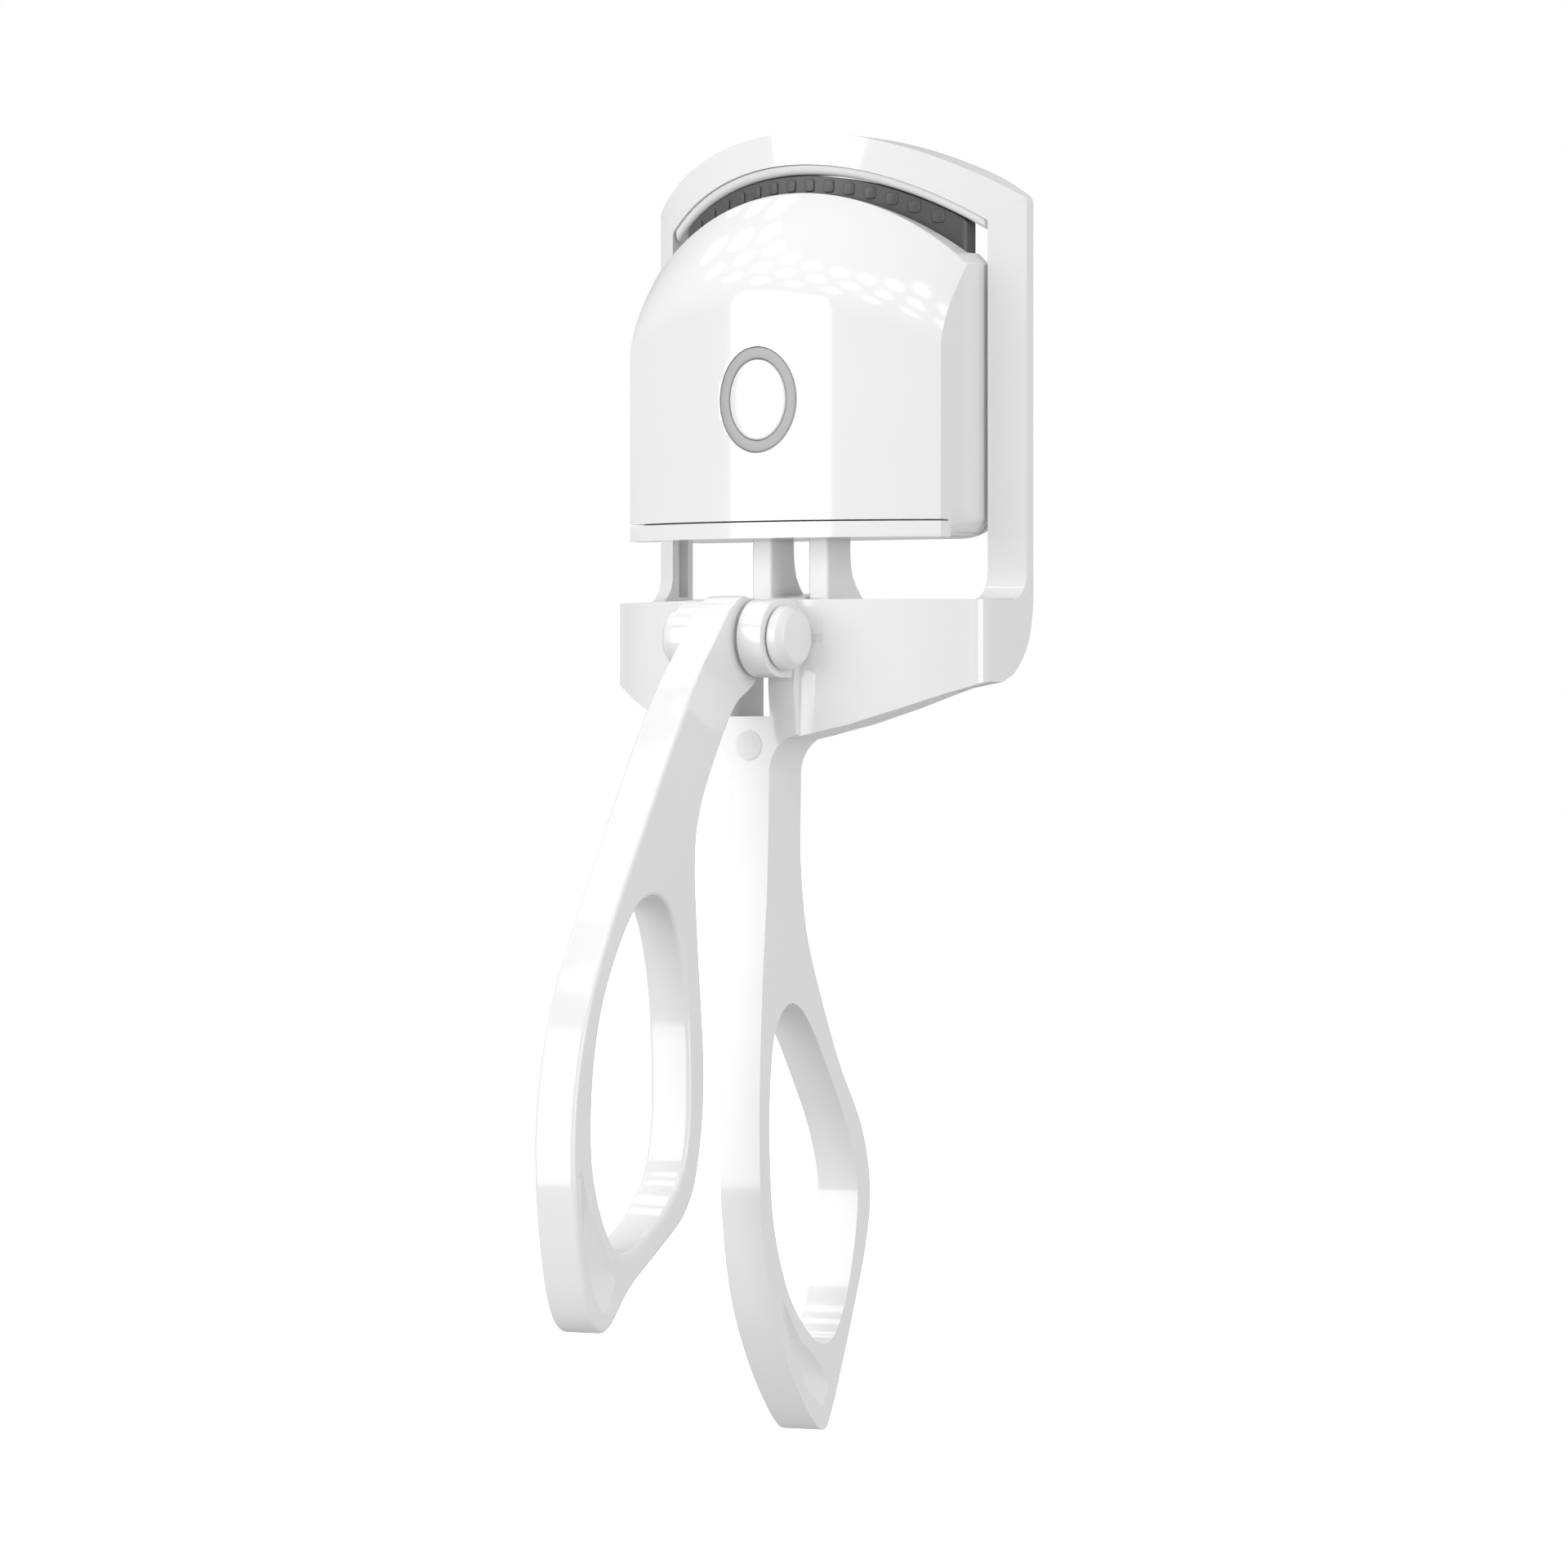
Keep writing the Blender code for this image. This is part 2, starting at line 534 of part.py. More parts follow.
def make_comb():
    top = PAD_RADIUS - GAP
    comb = arc_piece("heating_comb", COMB_FRONT, COMB_DEPTH, COMB_HALF, top, COMB_TALL)
    face = bowed(COMB_FRONT, JAW_PLAN_RADIUS)
    for i in range(TOOTH_COUNT):
        x = TOOTH_PITCH * (i - 0.5 * (TOOTH_COUNT - 1))
        z = SOFFIT_CENTRE_Z + math.sqrt(top**2 - x**2) - 0.35
        sides = (x - 0.5 * TOOTH_WIDTH, x + 0.5 * TOOTH_WIDTH)
        plan = [(edge, face(edge) - TOOTH_PROUD) for edge in sides]
        plan += [(edge, face(x) + 0.7) for edge in sides[::-1]]
        join(comb, prism("tooth", plan, "Z", z - TOOTH_TALL, z))
    return comb


def make_fork():
    """The two arms that carry the head on the lever, joined by a foot inside the head."""
    fork = box("slider_fork", (-9.0, ARM_FRONT, 24.2), (9.0, ARM_BACK, 25.8))
    turns = np.linspace(-0.06 * math.pi, -0.75 * math.pi, 8)
    eye = [(LINK_Y + 2.3 * math.cos(t), LINK_Z + 2.3 * math.sin(t)) for t in turns]
    outline = [(ARM_FRONT, 25.0), (ARM_BACK, 25.0), (ARM_BACK, 20.5), (5.3, 18.9), (6.6, 17.3), (8.4, 15.7)]
    outline += [*eye, (2.6, 13.6), (ARM_FRONT, 15.0)]
    for side in (-1, 1):
        reach = sorted((side * ARM_INNER, side * ARM_OUTER))
        join(fork, prism("arm", outline, "X", *reach))
        cut(fork, prism("screw_hole", circle(side * 7.0, 3.0, 0.75, 12), "Z", 20.0, 30.0))
    cut(fork, rod("link_hole", LINK_Y, LINK_Z, LINK_RADIUS + 0.05, -8.0, 8.0, 16))
    return fork


def make_pivot_pin():
    """The hinge pin: its head on the right, its shank through both ears."""
    pin = rod("pivot_pin", PIVOT_Y, PIVOT_Z, PIVOT_PIN_RADIUS, -EAR_OUTER - 1.0, EAR_OUTER + 0.5)
    return join(pin, button_head("head", EAR_OUTER + 0.1, PIVOT_HEAD_END))


def button_head(name, low, high):
    """A round head on the pivot's axis with a chamfered outer edge."""

    def build(shape):
        rings = []
        shoulder = 0.35 * low + 0.65 * high
        for x, radius in ((low, PIVOT_HEAD_RADIUS), (shoulder, PIVOT_HEAD_RADIUS), (high, 2.3)):
            rings.append([shape.verts.new((x, y, z)) for y, z in circle(PIVOT_Y, PIVOT_Z, radius, 28)])
        for near, far in zip(rings, rings[1:]):
            for i in range(28):
                j = (i + 1) % 28
                shape.faces.new((near[i], near[j], far[j], far[i]))
        shape.faces.new(rings[0])
        shape.faces.new(rings[-1])

    return add_object(name, build)


def make_pivot_cap():
    cap = button_head("pivot_cap", -EAR_OUTER - 0.1, -PIVOT_HEAD_END)
    return cut(cap, rod("bore", PIVOT_Y, PIVOT_Z, PIVOT_PIN_RADIUS + 0.05, -EAR_OUTER - 1.3, 0.0))


def make_head_insides():
    """What the head holds: battery, board, switch, lamps, socket, heater, its carrier and the screws."""
    insides = {}
    insides["battery"] = box("battery", (-10.5, 0.3, 33.6), (10.5, 4.0, 42.3))
    insides["circuit_board"] = box("circuit_board", (-10.0, -0.8, 26.5), (10.0, -0.2, 42.0))
    insides["tact_switch"] = box("tact_switch", (-1.6, -3.0, BUTTON_Z - 1.6), (1.6, -1.65, BUTTON_Z + 1.6))
    insides["usb_socket"] = prism("usb_socket", oval(SOCKET_Z, (4.5, 1.65), 24), "Y", 0.4, HEAD_BACK)
    room = prism("mouth", oval(SOCKET_Z, (4.1, 1.25), 24), "Y", 2.4, HEAD_BACK + 2.0)
    tongue = box("tongue", (-3.2, 2.0, SOCKET_Z - 0.35), (3.2, HEAD_BACK - 1.2, SOCKET_Z + 0.35))
    join(cut(insides["usb_socket"], room), tongue)
    insides["heater_plate"] = arc_piece("heater_plate", 5.0, 0.6, 11.0, PAD_RADIUS - 5.0, 2.6, 12)
    carrier_top = PAD_RADIUS - GAP - COMB_TALL - GAP
    insides["comb_carrier"] = arc_piece("comb_carrier", 2.6, 2.2, 14.0, carrier_top, 2.0, 12)
    for side, word in ((-1, "left"), (1, "right")):
        low, high = (side * 3.4 - 0.8, -2.3, BUTTON_Z - 0.4), (side * 3.4 + 0.8, -1.65, BUTTON_Z + 0.4)
        insides[f"{word}_lamp"] = box(f"{word}_lamp", low, high)
        shank = prism(f"{word}_screw", circle(side * 7.0, 3.0, 0.6, 12), "Z", 24.0, 26.6)
        head = prism("head", circle(side * 7.0, 3.0, 1.2, 12), "Z", 26.1, 27.0)
        insides[f"{word}_screw"] = join(shank, head)
    return insides


def build_parts():
    """Every sub-part with its material, all in working axes."""
    white = material("white_gloss", WHITE, 0.12)
    pin_white = material("white_pin", PIN_WHITE, 0.18)
    silicone = material("white_silicone", WHITE_SILICONE, 0.6)
    steel = material("steel", STEEL, 0.3, 1.0)
    dark = material("comb_grey", COMB_GREY, 0.5)
    parts = [
        (make_frame(), white),
        (make_lever(), white),
        (make_front_shell(), white),
        (make_rear_shell(), white),
        (make_bottom_cover(), white),
        (make_fork(), white),
        (make_pivot_pin(), pin_white),
        (make_pivot_cap(), pin_white),
        (make_comb(), dark),
    ]
    pad = arc_piece("jaw_pad", PAD_FRONT, PAD_WIDTH, PAD_HALF, PAD_RADIUS + PAD_TALL, PAD_TALL - 0.2)
    join(pad, arc_piece("lip", LIP_FRONT, LIP_WIDTH, LIP_HALF, PAD_RADIUS + LIP_TALL, LIP_TALL))
    cut(pad, box("behind", (-20.0, FRAME_BACK - GAP, 40.0), (20.0, 20.0, 70.0)))
    parts.append((pad, silicone))
    disc = circle(0.0, BUMPER_Z, BUMPER_RADIUS, 20)
    bumper = prism("stop_bumper", disc, "Y", PLATE_FRONT - 0.1, PLATE_FRONT + 1.0)
    parts.append((bumper, silicone))
    parts.append((rod("link_pin", LINK_Y, LINK_Z, LINK_RADIUS, -ARM_OUTER, ARM_OUTER, 16), steel))
    ring = prism("light_ring", oval(BUTTON_Z, RING_HALF), "Y", HEAD_FRONT - 0.02, HEAD_FRONT + 1.3)
    cut(ring, prism("hole", oval(BUTTON_Z, [r + 0.08 for r in BUTTON_HALF]), "Y", -9.0, 0.0))
    parts.append((ring, material("ring_grey", RING_GREY, 0.4)))
    button = prism("power_button", oval(BUTTON_Z, BUTTON_HALF), "Y", HEAD_FRONT - 0.05, HEAD_FRONT + 1.1)
    parts.append((button, white))
    insides = make_head_insides()
    lamp_clear = material("lamp_clear", (0.9, 0.9, 0.8), 0.3)
    finishes = {
        "battery": material("battery_silver", BATTERY_SILVER, 0.4, 0.3),
        "circuit_board": material("board_green", BOARD_GREEN, 0.5),
        "tact_switch": dark,
        "usb_socket": steel,
        "heater_plate": material("ceramic", CERAMIC, 0.6),
        "comb_carrier": material("carrier_grey", CARRIER_GREY, 0.6),
        "left_lamp": lamp_clear,
        "right_lamp": lamp_clear,
        "left_screw": steel,
        "right_screw": steel,
    }
    return parts + [(insides[name], finish) for name, finish in finishes.items()]


def clear_scene():
    for thing in list(bpy.data.objects):
        bpy.data.objects.remove(thing)


def main():
    clear_scene()
    parts = build_parts()
    corners = np.array([v.co for thing, _ in parts for v in thing.data.vertices])
    middle = 0.5 * (corners.min(axis=0) + corners.max(axis=0))
    assembly = bpy.data.objects.new("eyelash_curler", None)
    bpy.context.collection.objects.link(assembly)
    assembly.location = -middle
    for thing, finish in parts:
        thing.data.materials.clear()
        thing.data.materials.append(finish)
        thing.parent = assembly
    print("assembly offset", [round(float(v), 6) for v in assembly.location])


main()
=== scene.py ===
"""Looks of the heated eyelash curler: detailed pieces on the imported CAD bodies, studio light and camera.

Lengths are millimetres in the CAD script's working axes: X across the jaw, Y towards the eye, Z up. place()
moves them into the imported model's frame, in metres.
"""
import math

import bmesh
import bpy
import numpy as np
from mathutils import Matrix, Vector


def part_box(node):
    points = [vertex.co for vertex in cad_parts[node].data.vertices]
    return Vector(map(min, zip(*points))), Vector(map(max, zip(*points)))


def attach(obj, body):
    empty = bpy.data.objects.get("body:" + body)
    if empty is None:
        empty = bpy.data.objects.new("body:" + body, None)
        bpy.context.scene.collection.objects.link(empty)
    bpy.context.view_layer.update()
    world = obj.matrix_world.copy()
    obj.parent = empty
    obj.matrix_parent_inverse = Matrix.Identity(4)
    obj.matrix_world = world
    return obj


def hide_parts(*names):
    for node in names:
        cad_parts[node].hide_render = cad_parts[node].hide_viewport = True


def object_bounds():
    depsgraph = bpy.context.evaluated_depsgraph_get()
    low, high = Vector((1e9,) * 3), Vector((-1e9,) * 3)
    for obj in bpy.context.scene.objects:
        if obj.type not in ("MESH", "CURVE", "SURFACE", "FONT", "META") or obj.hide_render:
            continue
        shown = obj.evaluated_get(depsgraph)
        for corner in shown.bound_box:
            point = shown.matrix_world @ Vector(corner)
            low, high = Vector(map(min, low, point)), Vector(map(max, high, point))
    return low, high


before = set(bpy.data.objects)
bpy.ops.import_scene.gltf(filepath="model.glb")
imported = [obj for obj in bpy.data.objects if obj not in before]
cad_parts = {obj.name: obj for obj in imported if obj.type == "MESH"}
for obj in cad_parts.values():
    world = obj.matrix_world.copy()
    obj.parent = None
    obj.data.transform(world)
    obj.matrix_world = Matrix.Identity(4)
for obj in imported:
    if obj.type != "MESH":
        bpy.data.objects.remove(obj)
cad_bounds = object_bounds()

MM = 0.001

# The casting
FRAME_HALF = 19.9
POST_INNER = 17.1
FRAME_BACK = 10.8
JAW_TOP = 59.2
JAW_RADIUS = 35.0
SOFFIT_CENTRE = 26.3
SOFFIT_RADIUS = 30.0
PLAN_RADIUS = 30.0
JAW_FRONT = 2.1
JAW_BACK = 7.0
JAW_BACK_RADIUS = 38.0
YOKE_TOP = 16.6
YOKE_FRONT = -5.7
YOKE_RADIUS = 27.3
YOKE_BACK_RADIUS = 18.9
PLATE_HALF = 5.05
FLANK = 3.5
FLARE = 2.6
SLOT_HALF = 2.3
SLOT_BOTTOM = 6.1
PIVOT = (-7.8, 13.1)
LINK = (6.6, 14.5)
EAR = (2.3, 4.8, 3.55)
HANDLE_HALF = 2.15

# The pad and the comb
PAD_RADIUS = 29.1
PAD_FRONT = 2.35
PAD_DEPTH = 3.2
PAD_HALF = 16.9
PAD_TALL = 0.88
COMB_RADIUS = 29.0
COMB_FRONT = 2.75
COMB_HALF = 15.2
COMB_DEPTH = 1.9
COMB_TALL = 5.0
TOOTH_HALF = 0.5
TOOTH_TALL = 1.15
TOOTH_COUNT = 14
TOOTH_PITCH = 2.0

# The head
HEAD_HALF = 16.8
HEAD_BOTTOM = 22.2
SEAM_Z = 23.7
RIM_TOP = 53.7
RIM_RADIUS = 24.0
RIM_FRONT = 2.0
RIM_PLAN_RADIUS = 58.0
HEAD_FRONT = -4.56
HEAD_RADIUS = 33.5
SLOPE_TALL = 10.0
SLOPE_POWER = 1.6
SLOPE_SIDE_LOSS = 2.5
HEAD_BACK = 8.0
HEAD_BACK_BOW = 2.6
HEAD_WALL = 1.2
SIDE_EDGE_Y = 4.15
SIDE_TAPER = 0.35
CORNER = 2.8
CHEEK_X = 15.5
CHEEK_Y = 1.7
SIDE_PARTING_Y = 8.5
REAR_EDGE_Y = 7.6
BUTTON_Z = 34.7
RING_HALF = (4.1, 4.75)
BUTTON_HALF = (3.0, 3.65)
OVAL_TALLER = 0.65
SOCKET_Z = 31.0

# The camera, in degrees, metres and millimetres of lens, and the discs over it that glint on the dome
CAMERA_AZIMUTH = 33.0
CAMERA_DISTANCE = 0.8
CAMERA_LENS = 202.5
GLINT_ROWS = ((38.0, -118.0), (47.0, -109.0), (56.0, -118.0))  # elevation and first azimuth
GLINT_COLUMNS = 10
GLINT_PITCH = 19.0

low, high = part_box("link_pin")
SHIFT = 0.5 * (Vector(low) + Vector(high)) - Vector((0.0, *LINK)) * MM


def place(point):
    return Vector(point) * MM + SHIFT


# ---------------------------------------------------------------- mesh helpers


def finish_mesh(name, shape, sharp=38.0):
    """An object from a bmesh in working millimetres, smooth but for its sharp edges."""
    bmesh.ops.remove_doubles(shape, verts=shape.verts, dist=1e-5)
    bmesh.ops.recalc_face_normals(shape, faces=shape.faces)
    for vert in shape.verts:
        vert.co = place(vert.co)
    mesh = bpy.data.meshes.new(name)
    shape.to_mesh(mesh)
    shape.free()
    made = bpy.data.objects.new(name, mesh)
    bpy.context.collection.objects.link(made)
    shade(made, sharp)
    return made


def shade(made, sharp=38.0):
    """Smooth shading, but for edges sharper than sharp."""
    mesh = made.data
    mesh.polygons.foreach_set("use_smooth", [True] * len(mesh.polygons))
    mesh.set_sharp_from_angle(angle=math.radians(sharp))


def loft(name, rings, sharp=38.0):
    """A closed solid through rings of equal length, capped at both ends."""
    shape = bmesh.new()
    rows = [[shape.verts.new(point) for point in ring] for ring in rings]
    count = len(rows[0])
    for near, far in zip(rows, rows[1:]):
        for i in range(count):
            j = (i + 1) % count
            shape.faces.new((near[i], near[j], far[j], far[i]))
    shape.faces.new(rows[0])
    shape.faces.new(rows[-1])
    return finish_mesh(name, shape, sharp)


def at_axis(pair, axis, along):
    """The 3-D point whose coordinate on axis is along and whose other two are the pair."""
    values = list(pair)
    values.insert("XYZ".index(axis), along)
    return values


def prism(name, outline, axis, start, end):
    """The outline extruded along an axis; its points are the other two coordinates in X, Y, Z order."""
    rings = [[at_axis(pair, axis, along) for pair in outline] for along in (start, end)]
    return loft(name, rings)


def box(name, start, end):
    outline = [(start[0], start[1]), (end[0], start[1]), (end[0], end[1]), (start[0], end[1])]
    return prism(name, outline, "Z", start[2], end[2])


def ring_of(x, y, radius, sides):
    turns = [2.0 * math.pi * i / sides for i in range(sides)]
    return [(x + radius * math.cos(t), y + radius * math.sin(t)) for t in turns]


def oval(z, half, sides=72):
    turns = [2.0 * math.pi * i / sides for i in range(sides)]
    return [(half[0] * math.cos(t), z + half[1] * math.sin(t)) for t in turns]


def smooth_loop(points, steps=8):
    """A closed Catmull-Rom curve through the points."""
    knots = [np.array(p, float) for p in points]
    count = len(knots)
    curve = []
    for i in range(count):
        a, b, c, d = (knots[(i + k) % count] for k in (-1, 0, 1, 2))
        for s in range(steps):
            t = s / steps
            cubic = (2 * a - 5 * b + 4 * c - d) * t**2 + (3 * b - a - 3 * c + d) * t**3
            curve.append(0.5 * (2 * b + (c - a) * t + cubic))
    return curve


def rounded(points, radius, steps=5):
    """The closed outline with its corners turned into curves that start radius away from them."""
    knots = [np.array(p, float) for p in points]
    count = len(knots)
    curve = []
    for i in range(count):
        before, here, after = knots[i - 1], knots[i], knots[(i + 1) % count]
        reach = [min(radius, 0.45 * np.linalg.norm(end - here)) for end in (before, after)]
        start = here + (before - here) / np.linalg.norm(before - here) * reach[0]
        end = here + (after - here) / np.linalg.norm(after - here) * reach[1]
        for s in range(steps + 1):
            t = s / steps
            curve.append((1 - t) ** 2 * start + 2 * t * (1 - t) * here + t**2 * end)
    return curve


def inset(outline, distance):
    """The closed outline moved towards its inside by distance."""
    points = np.array([tuple(p) for p in outline], float)
    along = np.roll(points, -1, axis=0) - np.roll(points, 1, axis=0)
    along /= np.linalg.norm(along, axis=1)[:, None]
    normal = np.stack([-along[:, 1], along[:, 0]], axis=1)
    area = np.sum(points[:, 0] * np.roll(points[:, 1], -1) - np.roll(points[:, 0], -1) * points[:, 1])
    return points + normal * distance * (1.0 if area > 0 else -1.0)


def plate(name, outline, holes, axis, start, end, edge, steps=4):
    """A flat plate between two places on an axis, with holes, and with edges rounded to the radius edge."""
    turns = [0.5 * math.pi * i / steps for i in range(steps + 1)]
    levels = [(start + edge * (1 - math.sin(t)), edge * (1 - math.cos(t))) for t in turns[::-1]]
    levels += [(end - edge * (1 - math.sin(t)), edge * (1 - math.cos(t))) for t in turns]
    shape = bmesh.new()
    rims = ([], [])
    for loop, side in [(outline, 1.0)] + [(hole, -1.0) for hole in holes]:
        rows = []
        for along, depth in levels:
            pairs = inset(loop, side * depth)
            rows.append([shape.verts.new(at_axis(pair, axis, along)) for pair in pairs])
        count = len(rows[0])
        for near, far in zip(rows, rows[1:]):
            for i in range(count):
                j = (i + 1) % count
                shape.faces.new((near[i], near[j], far[j], far[i]))
        for rim, row in zip(rims, (rows[0], rows[-1])):
            rim.extend(shape.edges.get((row[i], row[(i + 1) % count])) for i in range(count))
    for rim in rims:
        if holes:
            bmesh.ops.triangle_fill(shape, use_beauty=True, edges=rim)
        else:
            bmesh.ops.contextual_create(shape, geom=rim)
    return finish_mesh(name, shape)


def boolean(target, tool, operation):
    step = target.modifiers.new(operation, "BOOLEAN")
    step.operation = operation
    step.solver = "EXACT"
    step.object = tool
    bpy.context.view_layer.update()
    apply_modifiers(target)
    bpy.data.objects.remove(tool)
    return target


def apply_modifiers(target):
    bpy.context.view_layer.update()
    graph = bpy.context.evaluated_depsgraph_get()
    result = bpy.data.meshes.new_from_object(target.evaluated_get(graph))
    target.modifiers.clear()
    target.data = result


def join(target, *tools):
    for tool in tools:
        boolean(target, tool, "UNION")
    return target


def cut(target, *tools):
    for tool in tools:
        boolean(target, tool, "DIFFERENCE")
    return target


def common(target, *tools):
    for tool in tools:
        boolean(target, tool, "INTERSECT")
    return target


def soften(target, width, angle=40.0, segments=3, sharp=50.0):
    """Rounds the edges sharper than angle, then shades flat faces flat."""
    clean = bmesh.new()
    clean.from_mesh(target.data)
    bmesh.ops.remove_doubles(clean, verts=clean.verts, dist=2e-6)
    bmesh.ops.dissolve_degenerate(clean, edges=clean.edges, dist=2e-6)
    clean.to_mesh(target.data)
    clean.free()
    bevel = target.modifiers.new("edges", "BEVEL")
    bevel.width = width * MM
    bevel.segments = segments
    bevel.limit_method = "ANGLE"
    bevel.angle_limit = math.radians(angle)
    bevel.use_clamp_overlap = True
    apply_modifiers(target)
    return weigh(target, sharp)


def weigh(target, sharp=50.0):
    """Shading in which broad faces stay flat up to their rounded edges."""
    shade(target, sharp)
    step = target.modifiers.new("normals", "WEIGHTED_NORMAL")
    step.keep_sharp = True
    step.weight = 80
    return target


def gather(name, *pieces):
    """One object out of several overlapping pieces."""
    shape = bmesh.new()
    for piece in pieces:
        apply_modifiers(piece)
        shape.from_mesh(piece.data)
        bpy.data.objects.remove(piece)
    mesh = bpy.data.meshes.new(name)
    shape.to_mesh(mesh)
    shape.free()
    made = bpy.data.objects.new(name, mesh)
    bpy.context.collection.objects.link(made)
    return weigh(made)


# ---------------------------------------------------------------- shape formulas


def bowed(front, radius):
    """Y of a plan arc at x: front in the middle, curving back towards both ends."""
    return lambda x: front + radius - math.sqrt(radius**2 - x**2)


jaw_front = bowed(JAW_FRONT, PLAN_RADIUS)
jaw_rear_arc = bowed(JAW_BACK, JAW_BACK_RADIUS)
yoke_front = bowed(YOKE_FRONT, YOKE_RADIUS)
head_plan = bowed(HEAD_FRONT, HEAD_RADIUS)
rim_plan = bowed(RIM_FRONT, RIM_PLAN_RADIUS)
comb_plan = bowed(COMB_FRONT, PLAN_RADIUS)


def jaw_back(x):
    """Y of the jaw's rear face, which meets the posts' rear at both ends."""
    return min(FRAME_BACK, jaw_rear_arc(x))


def head_back(x):
    """Y of the head's hollow rear face."""
    return HEAD_BACK + HEAD_BACK_BOW * (x / HEAD_HALF) ** 2


def rim_height(x):
    """Z of the head's top rim."""
    return RIM_TOP - RIM_RADIUS + math.sqrt(RIM_RADIUS**2 - x**2)


def head_front_y(x, z, depth=0.0):
    """Y of the head's face: bowed in plan, and sloping back to the rim near the top."""
    tall = SLOPE_TALL - SLOPE_SIDE_LOSS * (x / HEAD_HALF) ** 2
    below_rim = min(max((rim_height(x) - depth - z) / tall, 0.0), 1.0)
    retreat = rim_plan(x) - head_plan(x)
    return head_plan(x) + depth + retreat * (1.0 - below_rim) ** SLOPE_POWER


def over_the_arch(radius, centre_z, half, corner, foot, turn=8, arch=60):
    """Elevation points up the right post, round its corner, over the arch and down the left post.

    The post has closer points where it flares into the yoke.
    """
    reach = radius - corner
    x = half - corner
    z = centre_z + math.sqrt(reach**2 - x**2)
    tilt = math.asin(x / reach)
    right = [(half, foot), *[(half, level) for level in np.linspace(YOKE_TOP, YOKE_TOP + FLARE, 12)]]
    right += [(half, level) for level in np.linspace(YOKE_TOP + FLARE + 1.0, z - 0.5, 8)]
    for i in range(turn + 1):
        t = (0.5 * math.pi - tilt) * i / turn
        right.append((x + corner * math.cos(t), z + corner * math.sin(t)))
    for i in range(1, arch // 2):
        t = tilt * (1.0 - 2.0 * i / arch)
        right.append((radius * math.sin(t), centre_z + radius * math.cos(t)))
    return right + [(0.0, centre_z + radius)] + [(-x, z) for x, z in right[::-1]]


def rounded_square(radii, spans, steps=4):
    """Corner-rounded loop on the unit square; radii and spans are in millimetres."""
    corners = [(0, 0, 180), (1, 0, 270), (1, 1, 0), (0, 1, 90)]
    loop = []
    for (u, v, first), radius in zip(corners, radii):
        ru, rv = radius / spans[0], radius / spans[1]
        for i in range(steps + 1):
            t = math.radians(first + 90.0 * i / steps)
            centre = (u + (ru if u == 0 else -ru), v + (rv if v == 0 else -rv))
            loop.append((centre[0] + ru * math.cos(t), centre[1] + rv * math.sin(t)))
    return loop


# ---------------------------------------------------------------- the casting

BLADE = [
    (-5.8, 10.6), (-5.8, 5.0), (-5.8, 0.0), (-6.1, -9.0), (-6.9, -19.0), (-7.35, -29.0), (-7.1, -38.0),
    (-5.7, -45.8), (-3.0, -51.8), (0.6, -56.8), (3.2, -58.7), (4.6, -57.2), (6.3, -53.3), (8.4, -48.0),
    (10.5, -42.0),
    (11.2, -37.0), (9.8, -31.4), (6.0, -25.4), (2.8, -19.1), (0.5, -13.4), (-0.5, -7.0), (-0.5, 0.0),
    (-0.4, 5.0), (-1.0, 10.6),
]
BLADE_LOOP = [
    (-2.9, -20.1), (-4.8, -22.5), (-5.6, -28.0), (-5.6, -34.0), (-4.9, -40.0), (-2.7, -45.7), (0.3, -49.3),
    (3.0, -50.9), (5.2, -50.1), (7.2, -46.6), (8.8, -40.5), (8.9, -36.0), (7.3, -31.3), (4.4, -26.5),
    (1.3, -22.1), (-0.9, -20.1),
]
BLADE_LEAF = [
    (-3.5, -46.6), (-3.2, -49.0), (-0.6, -53.6), (2.9, -56.6), (4.1, -54.4), (2.3, -52.3), (-0.6, -50.2),
]
BLADE_LEAF_DEEP = (0.4, -53.2)
LEVER = [
    (-8.6, 16.7), (-11.2, 16.0), (-13.6, 13.4), (-19.2, 6.8), (-25.4, -3.0), (-31.4, -13.0), (-34.9, -20.5),
    (-36.7, -28.0), (-36.9, -34.5), (-36.0, -41.6), (-34.6, -46.2), (-32.8, -48.0), (-30.9, -47.5),
    (-27.8, -44.3), (-23.2, -41.2), (-19.2, -38.2), (-17.1, -34.0), (-16.1, -26.0), (-17.1, -14.0),
    (-17.5, -6.8), (-16.6, -2.0), (-13.8, 3.1), (-11.0, 7.0), (-7.4, 9.3), (-5.2, 13.1),
]
LEVER_LOOP = [
    (-24.6, -9.9), (-27.2, -11.2), (-30.4, -15.7), (-32.7, -21.0), (-33.8, -27.0), (-33.8, -33.0),
    (-32.5, -37.5), (-30.3, -40.8), (-28.2, -41.1), (-25.6, -39.9), (-22.0, -37.3), (-19.7, -34.0),
    (-18.7, -28.5), (-19.1, -19.5), (-20.6, -13.2), (-22.4, -10.4),
]
LEVER_LEAF = [
    (-35.7, -33.4), (-35.7, -37.0), (-34.9, -41.8), (-32.6, -46.3), (-30.6, -43.6), (-32.3, -40.0),
    (-34.6, -36.8),
]
LEVER_LEAF_DEEP = (-33.9, -42.4)


def leaf_cutter(points, deep, side, depth=0.9):
    """A shallow leaf-shaped bowl that stands in one side face of a handle."""
    loop = smooth_loop(points, 8)
    centre = np.array(deep, float)
    rings = [(1.06, HANDLE_HALF + 0.8), (1.0, HANDLE_HALF + 0.02)]
    for i in range(1, 8):
        scale = math.cos(0.5 * math.pi * i / 8)
        rings.append((scale, HANDLE_HALF + 0.02 - depth * (1.0 - scale**2)))
    return loft("leaf", [[(side * x, *(centre + (p - centre) * scale)) for p in loop] for scale, x in rings])


